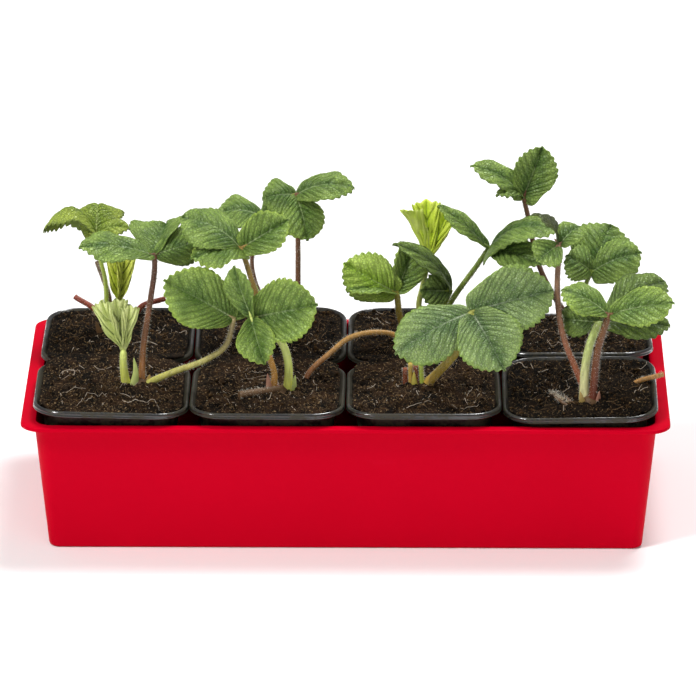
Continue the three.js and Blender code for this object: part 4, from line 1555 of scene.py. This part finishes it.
@dataclass(frozen=True)
class Standing:
    """How a pot stands in the trough, and where its plant's crown is."""

    column: int
    row: int
    lean: float  # degrees that raise its back
    sway: float  # degrees that raise its right side
    turn: float  # degrees about Z, anticlockwise from above
    crown: tuple[float, float]
    spilled: bool = False
    level: float = 84.0  # the crown's height
    floor: float = 1.2  # the height of the trough's floor

    MIDDLE_COLUMN, MIDDLE_ROW = 1.5, 0.5

    def place(self) -> Matrix:
        """Gives the pot's place: it turns and leans about its rim's centre and rests on the floor.

        Returns:
            The matrix of the pot's own frame.
        """
        turn = Matrix.Rotation(math.radians(self.turn), 4, "Z")
        lean = Matrix.Rotation(math.radians(self.lean), 4, "X")
        sway = Matrix.Rotation(math.radians(-self.sway), 4, "Y")
        turned = turn @ lean @ sway
        rim_centre = turned @ Vector((0, 0, POT.height))
        foot = POT.body_ring(0, 0)
        corners = [foot.point(quarter, share / 3) for quarter in range(4) for share in range(4)]
        low = min((turned @ p).z for p in corners)
        x = (self.column - self.MIDDLE_COLUMN) * POT.pitch - rim_centre.x
        y = (self.row - self.MIDDLE_ROW) * POT.pitch - rim_centre.y
        return Matrix.Translation((x, y, self.floor + POT.gap - low)) @ turned


POTS = {
    "a": Standing(0, 0, -0.9, -1.4, 0.4, (-119, -37), True),
    "b": Standing(1, 0, -1.1, 0, -0.4, (-36, -50), True),
    "c": Standing(2, 0, -1.3, 0, 0.3, (45, -39), True),
    "d": Standing(3, 0, 3.2, 1.2, -0.3, (140, -64)),
    "e": Standing(0, 1, 0.7, 0.5, -0.4, (-141, 50), True),
    "f": Standing(1, 1, 1.5, 0, 0.3, (-31, 50), True),
    "g": Standing(2, 1, 1.2, 0, -0.3, (42, 48), True),
    "h": Standing(3, 1, -4.8, 0, 0.4, (137, 48)),
}
# The pots whose peat is darker.
MOIST_POTS = "defgh"


def plant_a() -> Plant:
    """Gives plant a, front row, with the pale folded fan."""
    fan = Leaf(
        "fan", [(-7, -1, 0), (-9, -3, 13), (-9, -4, 23)], 2.5, StalkTone.LIME,
        [
            Leaflet((-21, -8, 55), 13, (-0.4, -0.9, 0.2), 8, 0.5, LeafTone.DOWNY),
            Leaflet((-13, -5, 55), 14, (0, -1, 0.2), -4, 0.5, LeafTone.DOWNY),
            Leaflet((-5, -4, 51), 12, (0.4, -0.9, 0.2), 8, 0.5, LeafTone.DOWNY),
        ],
        young=True,
    )
    tall = Leaf(
        "tall", [(1, 0, 0), (2, 3, 21), (6, 7, 47), (9, 9, 68), (9, 9, 77)], 1.9, StalkTone.RUSSET,
        [
            Leaflet((-34, 1, 84), 29, (0, -0.3, 0.95), -8, 4),
            Leaflet((15, 35, 87), 38, (-0.3, -0.4, 0.87), 28, 2),
            Leaflet((38, 13, 85), 31, (0.1, -0.92, 0.36), -40, 4),
        ],
    )
    reaching = Leaf(
        "reaching",
        [(4, 0, 0), (19, -5, 10), (38, -9, 19), (50, -9, 28), (55, -7, 44)],
        1.9, StalkTone.BUFF,
        [
            Leaflet((15, -12, 69), 37, (-0.1, -0.88, 0.45), 14, 3, LeafTone.FRESH),
            Leaflet((64, 15, 59), 22, (0.2, -0.8, 0.5), -8, 2, LeafTone.FRESH),
        ],
    )
    sheaths = [
        Sheath([(-3, -3, 0), (-2, -4, 10), (-3, -5, 19)], SheathTone.GREEN),
        Sheath([(4, 1, 0), (6, 0, 7)], SheathTone.STRAW),
    ]
    return Plant("a", (-119, -37, 84), 5.5, [fan, tall, reaching], sheaths)


def plant_b() -> Plant:
    """Gives plant b, front row."""
    broad = Leaf(
        "broad", [(2, 0, 0), (3, 1, 18), (-1, 2, 31), (-11, 2, 40), (-18, -4, 48)], 2.5, StalkTone.LIME,
        [
            Leaflet((20, -9, 58), 40, (0.1, -0.92, 0.4), 18, 2, LeafTone.FRESH, 0.5, 0.1),
            Leaflet((-10, -19, 25), 25, (-0.15, -0.92, 0.35), 22, 3, LeafTone.FRESH),
            Leaflet((-28, 0, 78), 19, (-0.4, -0.85, 0.35), 18, 2),
        ],
    )
    high = Leaf(
        "high",
        [(-6, 1, 0), (-5, 3, 10), (-9, 8, 24), (-13, 12, 47), (-18, 14, 64), (-24, 17, 83)],
        1.8, StalkTone.AMBER,
        [
            Leaflet((-59, 26, 98), 34, (0.1, -0.45, 0.9), -14, 7),
            Leaflet((-53, 6, 80), 25, (-0.05, -0.5, 0.85), -18, 4, LeafTone.FRESH, 0.4, 0.2),
            Leaflet((3, 20, 99), 26, (0.1, -0.85, 0.5), 16, 2, LeafTone.FRESH, 0.45, 0.1),
        ],
    )
    sheaths = [
        Sheath([(5, 0, 0), (7, -1, 12)], SheathTone.GREEN),
        Sheath([(-7, -1, 0), (-9, -1, 13)], SheathTone.PINK),
        Sheath([(-4, 3, 0), (-6, 3, 15)], SheathTone.PINK),
    ]
    old_stem = Stub([(-1, -1, 2), (-12, -8, 4.4), (-25, -14, 4.6)], 2.3)
    return Plant("b", (-36, -50, 84), 6, [broad, high], sheaths, [old_stem])


def plant_c() -> Plant:
    """Gives plant c, front row, with one broad grey-green leaf."""
    broad = Leaf(
        "broad", [(0, -1, 0), (8, -4, 11), (19, -8, 26), (27, -9, 50)], 2.6, StalkTone.OLIVE,
        [
            Leaflet((-17, -25, 30), 38, (-0.1, -0.78, 0.62), -16, 6, LeafTone.GREY),
            Leaflet((74, -3, 61), 40, (0, -0.85, 0.5), 13, 3, LeafTone.GREY, 0.4, 0.1),
            Leaflet((46, -31, 22), 41, (0.05, -0.88, 0.5), 14, 4, LeafTone.GREY, 0.5),
        ],
    )
    stumps = [
        Stub([(across, -2, 0), (across - 1, -3, tall)], 1.5, rind)
        for across, tall, rind in (
            (-10, 13, StalkTone.ROSE),
            (-7, 16, StalkTone.OLIVE),
            (-4, 15, StalkTone.ROSE),
            (-1, 16, StalkTone.FRESH),
        )
    ]
    sheaths = [
        Sheath([(-5, -4, 0), (-6, -5, 12)], SheathTone.YELLOW),
        Sheath([(3, -4, 0), (4, -5, 10)], SheathTone.STRAW),
    ]
    return Plant("c", (45, -39, 84), 6.5, [broad], sheaths, stumps)


def plant_d() -> Plant:
    """Gives plant d, front row, with three stalks side by side."""
    high = Leaf(
        "high",
        [(-1, 1, 0), (-6, 6, 13), (-14, 14, 31), (-17, 18, 41), (-19, 24, 60), (-18, 30, 86)],
        1.9, StalkTone.ROSE,
        [
            Leaflet((-31, 20, 79), 22, (-0.1, -0.75, 0.65), -8, 2),
            Leaflet((-32, 43, 101), 22, (0.55, 0.1, 0.8), -10, 5, LeafTone.HOLLOW),
            Leaflet((-6, 39, 94), 18, (0, -0.55, 0.8), -10, 3),
        ],
    )
    bright = Leaf(
        "bright", [(1, -1, 0), (2, 0, 13), (4, 2, 32), (10, 4, 53)], 2.3, StalkTone.RED,
        [
            Leaflet((-17, 10, 66), 24, (0, -0.5, 0.86), -14, 4, LeafTone.FRESH),
            Leaflet((47, -1, 62), 27, (0.05, -0.66, 0.75), -8, 3, LeafTone.FRESH),
            Leaflet((43, 25, 66), 30, (-0.05, -0.55, 0.8), -6, 5, LeafTone.DEEP),
        ],
    )
    low = Leaf(
        "low", [(-3, 2, 0), (-3, 6, 19), (0, 11, 33), (5, 18, 43)], 2.8, StalkTone.PALE,
        [
            Leaflet((-18, 27, 42), 21, (-0.1, -0.93, 0.35), -6, 2, LeafTone.DEEP),
            Leaflet((46, 20, 40), 24, (0.05, -0.6, 0.78), -6, 3, LeafTone.DEEP),
        ],
    )
    sheaths = [
        Sheath([(-4, -3, 0), (-6, -4, 9)], SheathTone.STRAW),
        Sheath([(4, -2, 0), (5, -3, 9)], SheathTone.PINK),
    ]
    # The dry husk is three dead stalks that lie side by side on the peat.
    husks = []
    for over, rind in ((0.0, StalkTone.DEAD), (1.8, StalkTone.HUSK), (3.6, StalkTone.DEAD)):
        lying = [(-11 - over, -2 - over, 1.8), (-16 - over, 6 - over, 2.6), (-21 - over, 13, 2.0)]
        husks.append(Stub(lying, 1.0, rind))
    return Plant("d", (140, -64, 84), 6, [high, bright, low], sheaths, husks)


def plant_e() -> Plant:
    """Gives plant e, back row, with the drooping umbrella leaf and a folded bud."""
    umbrella = Leaf(
        "umbrella", [(-1, 0, 0), (-1, -2, 33), (-4, -3, 48), (-6, -2, 63)], 1.4, StalkTone.FRESH,
        [
            Leaflet((-37, -4, 66), 32, (0, 0.5, 0.86), -46, 15, LeafTone.UMBRELLA, 0.45, 0.1),
            Leaflet((-5, 23, 68), 35, (0, -0.1, 1), -26, 12, LeafTone.UMBRELLA, 0.45, 0.1),
            Leaflet((14, -5, 67), 16, (0, -0.4, 0.9), -20, 4, LeafTone.UMBRELLA),
        ],
    )
    bud = Leaf(
        "bud", [(5, -1, 0), (6, -2, 11), (7, -2, 21)], 1.8, StalkTone.FRESH,
        [
            Leaflet((10, -3, 51), 14, (0.35, -0.93, 0.1), 24, 2, LeafTone.BUD),
            Leaflet((6, -1, 48), 12, (-0.4, -0.9, 0.1), 24, 2, LeafTone.BUD),
        ],
        young=True,
    )
    sheaths = [Sheath([(-4, -3, 0), (-7, -4, 9)])]
    cut = Stub([(0, 2, 0), (1, 2, 20), (-6, 2, 44)], 1.6)
    return Plant("e", (-141, 50, 84), 6, [umbrella, bud], sheaths, [cut])


def plant_f() -> Plant:
    """Gives plant f, back row."""
    high = Leaf(
        "high", [(2, 0, 0), (2, 0, 27), (2, 0, 61), (1, 0, 87)], 1.7, StalkTone.BROWN,
        [
            Leaflet((35, -4, 93), 24, (0, -0.5, 0.86), -14, 6, LeafTone.MID, 0.4),
            Leaflet((8, -14, 63), 28, (0.3, -0.85, 0.45), -10, 3, LeafTone.FRESH),
            Leaflet((-19, 0, 84), 25, (-0.1, -0.72, 0.7), -16, 3),
        ],
    )
    back = Leaf(
        "back", [(-3, 2, 0), (-20, 1, 24), (-25, 0, 46), (-18, 0, 73)], 1.4, StalkTone.BROWN,
        [
            Leaflet((-46, 0, 75), 28, (0, -0.45, 0.9), -14, 5),
            Leaflet((-3, 12, 80), 20, (0.1, -0.6, 0.8), -6, 3),
        ],
    )
    return Plant("f", (-31, 50, 84), 5.5, [high, back], [Sheath([(-4, -3, 0), (-6, -3, 9)])])


def plant_g() -> Plant:
    """Gives plant g, back row, with the pale leaf and the half-open fan."""
    pale = Leaf(
        "pale", [(-6, -5, 0), (-11, -11, 15), (-13, -15, 32)], 2.1, StalkTone.OLIVE,
        [
            Leaflet((-44, -20, 52), 31, (-0.35, -0.85, 0.4), -8, 3, LeafTone.BRIGHT, 0.5, 0.1),
            Leaflet((-3, -1, 57), 25, (0.45, -0.85, 0.3), 20, 1, LeafTone.FRESH),
            Leaflet((-42, -26, 37), 17, (0, -0.1, 1), -6, 3, LeafTone.FRESH),
        ],
    )
    fan = Leaf(
        "fan", [(2, 2, 0), (0, 3, 18), (2, 2, 29), (6, 2, 48)], 1.8, StalkTone.LIME,
        [
            Leaflet((-7, -3, 79), 17, (0.45, 0.8, 0.3), 14, 1, LeafTone.LIME),
            Leaflet((4, 5, 83), 18, (0, -1, 0.1), 16, 1, LeafTone.LIME),
            Leaflet((17, 2, 77), 17, (-0.4, -0.88, 0.15), 12, 1, LeafTone.LIME),
        ],
        young=True,
    )
    wide = Leaf(
        "wide", [(7, 4, 0), (23, 2, 27), (33, -2, 43), (41, -6, 57)], 1.8, StalkTone.GREEN,
        [
            Leaflet((11, -3, 82), 17, (0.3, -0.3, 0.9), -10, 2),
            Leaflet((81, -18, 72), 32, (-0.05, -0.2, 0.97), -14, 9, LeafTone.MID, 0.4, 0.2),
            Leaflet((71, -27, 54), 24, (0.05, -0.6, 0.8), -6, 3),
        ],
    )
    arching = Leaf(
        "arching", [(5, -3, 0), (13, -4, 17), (19, -6, 30)], 1.4, StalkTone.GREEN,
        [
            Leaflet((-15, -20, 64), 16, (0.3, -0.45, 0.85), -8, 8, LeafTone.DEEP),
            Leaflet((1, -14, 33), 21, (0, -0.95, 0.3), -5, 1, LeafTone.DEEP),
        ],
    )
    sheaths = [Sheath([(-4, -4, 0), (-6, -5, 10)])]
    return Plant("g", (42, 48, 84), 6.5, [pale, fan, wide, arching], sheaths)


def plant_h() -> Plant:
    """Gives plant h, back row, the tallest."""
    top = Leaf(
        "top",
        [(-2, 0, 0), (-8, 2, 12), (-16, 4, 24), (-25, 6, 43), (-31, 6, 71), (-34, 6, 84)],
        1.7, StalkTone.BROWN,
        [
            Leaflet((-23, 10, 114), 29, (0.25, -0.9, 0.3), 20, 1, LeafTone.MID, 0.45, 0.18),
            Leaflet((-65, 2, 105), 20, (0.1, -0.45, 0.87), -10, 6),
            Leaflet((-50, -8, 90), 13, (0, -0.35, 0.94), -16, 4, LeafTone.DEEP),
        ],
    )
    round_leaf = Leaf(
        "round", [(5, -2, 0), (3, -4, 24), (3, -6, 35), (6, -8, 43)], 1.5, StalkTone.GREEN,
        [
            Leaflet((35, -11, 56), 30, (0.1, -0.7, 0.7), -14, 5, LeafTone.MID, 0.4, 0.1),
            Leaflet((18, 7, 67), 42, (0, -0.7, 0.7), -10, 4, LeafTone.MID, 0.4, 0.1),
            Leaflet((-9, -11, 54), 25, (-0.1, -0.75, 0.66), -14, 3, LeafTone.MID, 0.45),
        ],
    )
    return Plant("h", (137, 48, 84), 5.5, [top, round_leaf], [Sheath([(-4, -3, 0), (-6, -4, 9)])])


# The runner arches from the peat of pot b to that of pot c.
RUNNER = [
    (-25, -30, 79), (-22, -28, 88), (-9, -22, 99), (2, -16, 106),
    (17, -12, 108), (30, -9, 104), (36, -12, 94), (38, -13, 80),
]
LOOSE_STEMS = {
    "cut_stem_left": Stub([(-149, 76, 80), (-149, 76, 88), (-162, 80, 96)], 1.7, StalkTone.CUT_RED),
    "cut_stem_right": Stub([(-126, 78, 80), (-123, 78, 90), (-108, 80, 95)], 1.7, StalkTone.CUT_RED),
    "cut_stem_edge": Stub([(160, -41, 80), (166, -39, 87), (183, -37, 92)], 1.5, StalkTone.CUT_TAN),
    "runner": Stub(RUNNER, 1.6, StalkTone.TAN),
}
HAIRS_PER_STEP_OF_STEM = 14


def build_loose_stem(name: str, stub: Stub, finishes: Finishes) -> None:
    """Builds a stem that leaves the peat by itself, with its hairs.

    Args:
        name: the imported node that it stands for.
        stub: its way, radius and rind.
        finishes: the materials.
    """
    bm = bmesh.new()
    way = smooth_path(stub.path, 2.0)
    sweep(bm, way, taper(len(way), stub.radius, stub.radius * 0.92), 12)
    close_up(bm)
    make_piece(bm, f"{name}_rind", [finishes.stalk(stub.rind)], [name])
    bm = bmesh.new()
    count = HAIRS_PER_STEP_OF_STEM * len(way)
    Hairs(length=1.4).add_to(bm, way, stub.radius * 0.95, count, random.Random(name))
    make_piece(bm, f"{name}_hairs", [finishes.plain(Finish.HAIR)])


@dataclass(frozen=True)
class Studio:
    """The plain pale floor, the soft lights and the camera at the photograph's angle."""

    floor_colour: str = "#FFFFFF"
    floor_size: float = 16.0
    surround: float = 0.3
    azimuth: float = 0.5
    elevation: float = 20.4
    target: Triple = (0.8, 0.0, 93.7)
    distance: float = 3778.0
    focal_px: float = 6500.0
    image_px: float = 696.0
    sensor: float = 36.0

    def build(self) -> None:
        """Makes the floor, the lights and the camera."""
        self._floor()
        self._lights()
        self._camera()

    def _floor(self) -> None:
        """Makes the floor, a plain matte sheet."""
        bm = bmesh.new()
        bmesh.ops.create_grid(bm, x_segments=1, y_segments=1, size=self.floor_size / 2)
        mesh = bpy.data.meshes.new("floor")
        bm.to_mesh(mesh)
        bm.free()
        paper = Surface("matte_white_paper", 0.9, 1.4, 0.0)
        mesh.materials.append(paper.feed({"Base Color": linear(self.floor_colour)}))
        floor = bpy.data.objects.new("floor", mesh)
        bpy.context.scene.collection.objects.link(floor)

    def _lights(self) -> None:
        """Makes three soft panels, each by its place, size and power, and an even pale surround."""
        panels = {
            "key": ((-1.7, -1.3, 2.6), 0.8, 66.0),
            "fill": ((1.1, -2.8, 1.1), 2.0, 12.0),
            "top": ((0.6, 0.8, 2.5), 0.9, 50.0),
        }
        aim = Vector((0, 0, 0.08))
        for name, (place, size, power) in panels.items():
            data = bpy.data.lights.new(name, "AREA")
            data.size = size
            data.energy = power
            light = bpy.data.objects.new(name, data)
            light.location = place
            light.rotation_euler = (aim - Vector(place)).to_track_quat("-Z", "Y").to_euler()
            light.visible_camera = False
            bpy.context.scene.collection.objects.link(light)
        world = bpy.data.worlds.new("studio")
        world.use_nodes = True
        surround = world.node_tree.nodes["Background"]
        surround.inputs["Color"].default_value = (1.0, 1.0, 1.0, 1.0)
        surround.inputs["Strength"].default_value = self.surround
        bpy.context.scene.world = world
        bpy.context.scene.view_settings.view_transform = "Standard"

    def _camera(self) -> None:
        """Makes the camera, which looks at the target from the photograph's direction."""
        azimuth, elevation = math.radians(self.azimuth), math.radians(self.elevation)
        level = math.cos(elevation)
        forward = Vector((-math.sin(azimuth) * level, math.cos(azimuth) * level, -math.sin(elevation)))
        data = bpy.data.cameras.new("camera")
        data.sensor_width = self.sensor
        data.lens = self.focal_px / self.image_px * self.sensor
        data.clip_end = 100.0
        camera = bpy.data.objects.new("camera", data)
        camera.location = (Vector(self.target) - forward * self.distance) * MM
        camera.rotation_euler = forward.to_track_quat("-Z", "Y").to_euler()
        bpy.context.scene.collection.objects.link(camera)
        bpy.context.scene.camera = camera


def main() -> None:
    """Builds every piece and the studio."""
    logging.basicConfig(level=logging.INFO, format="%(name)s %(message)s")
    finishes = Finishes()
    Studio().build()
    Trough().build(finishes)
    for key, standing in POTS.items():
        place = standing.place()
        POT.build(key, place, finishes)
        crown = place.inverted() @ Vector((*standing.crown, standing.level))
        side = 1 if standing.row == 0 else -1
        PeatBed(key, crown, standing.spilled, side, key in MOIST_POTS).build(place, finishes)
    for plant in (plant_a, plant_b, plant_c, plant_d, plant_e, plant_f, plant_g, plant_h):
        plant().build(finishes)
    for name, stub in LOOSE_STEMS.items():
        build_loose_stem(name, stub, finishes)


if __name__ == "__main__":
    main()
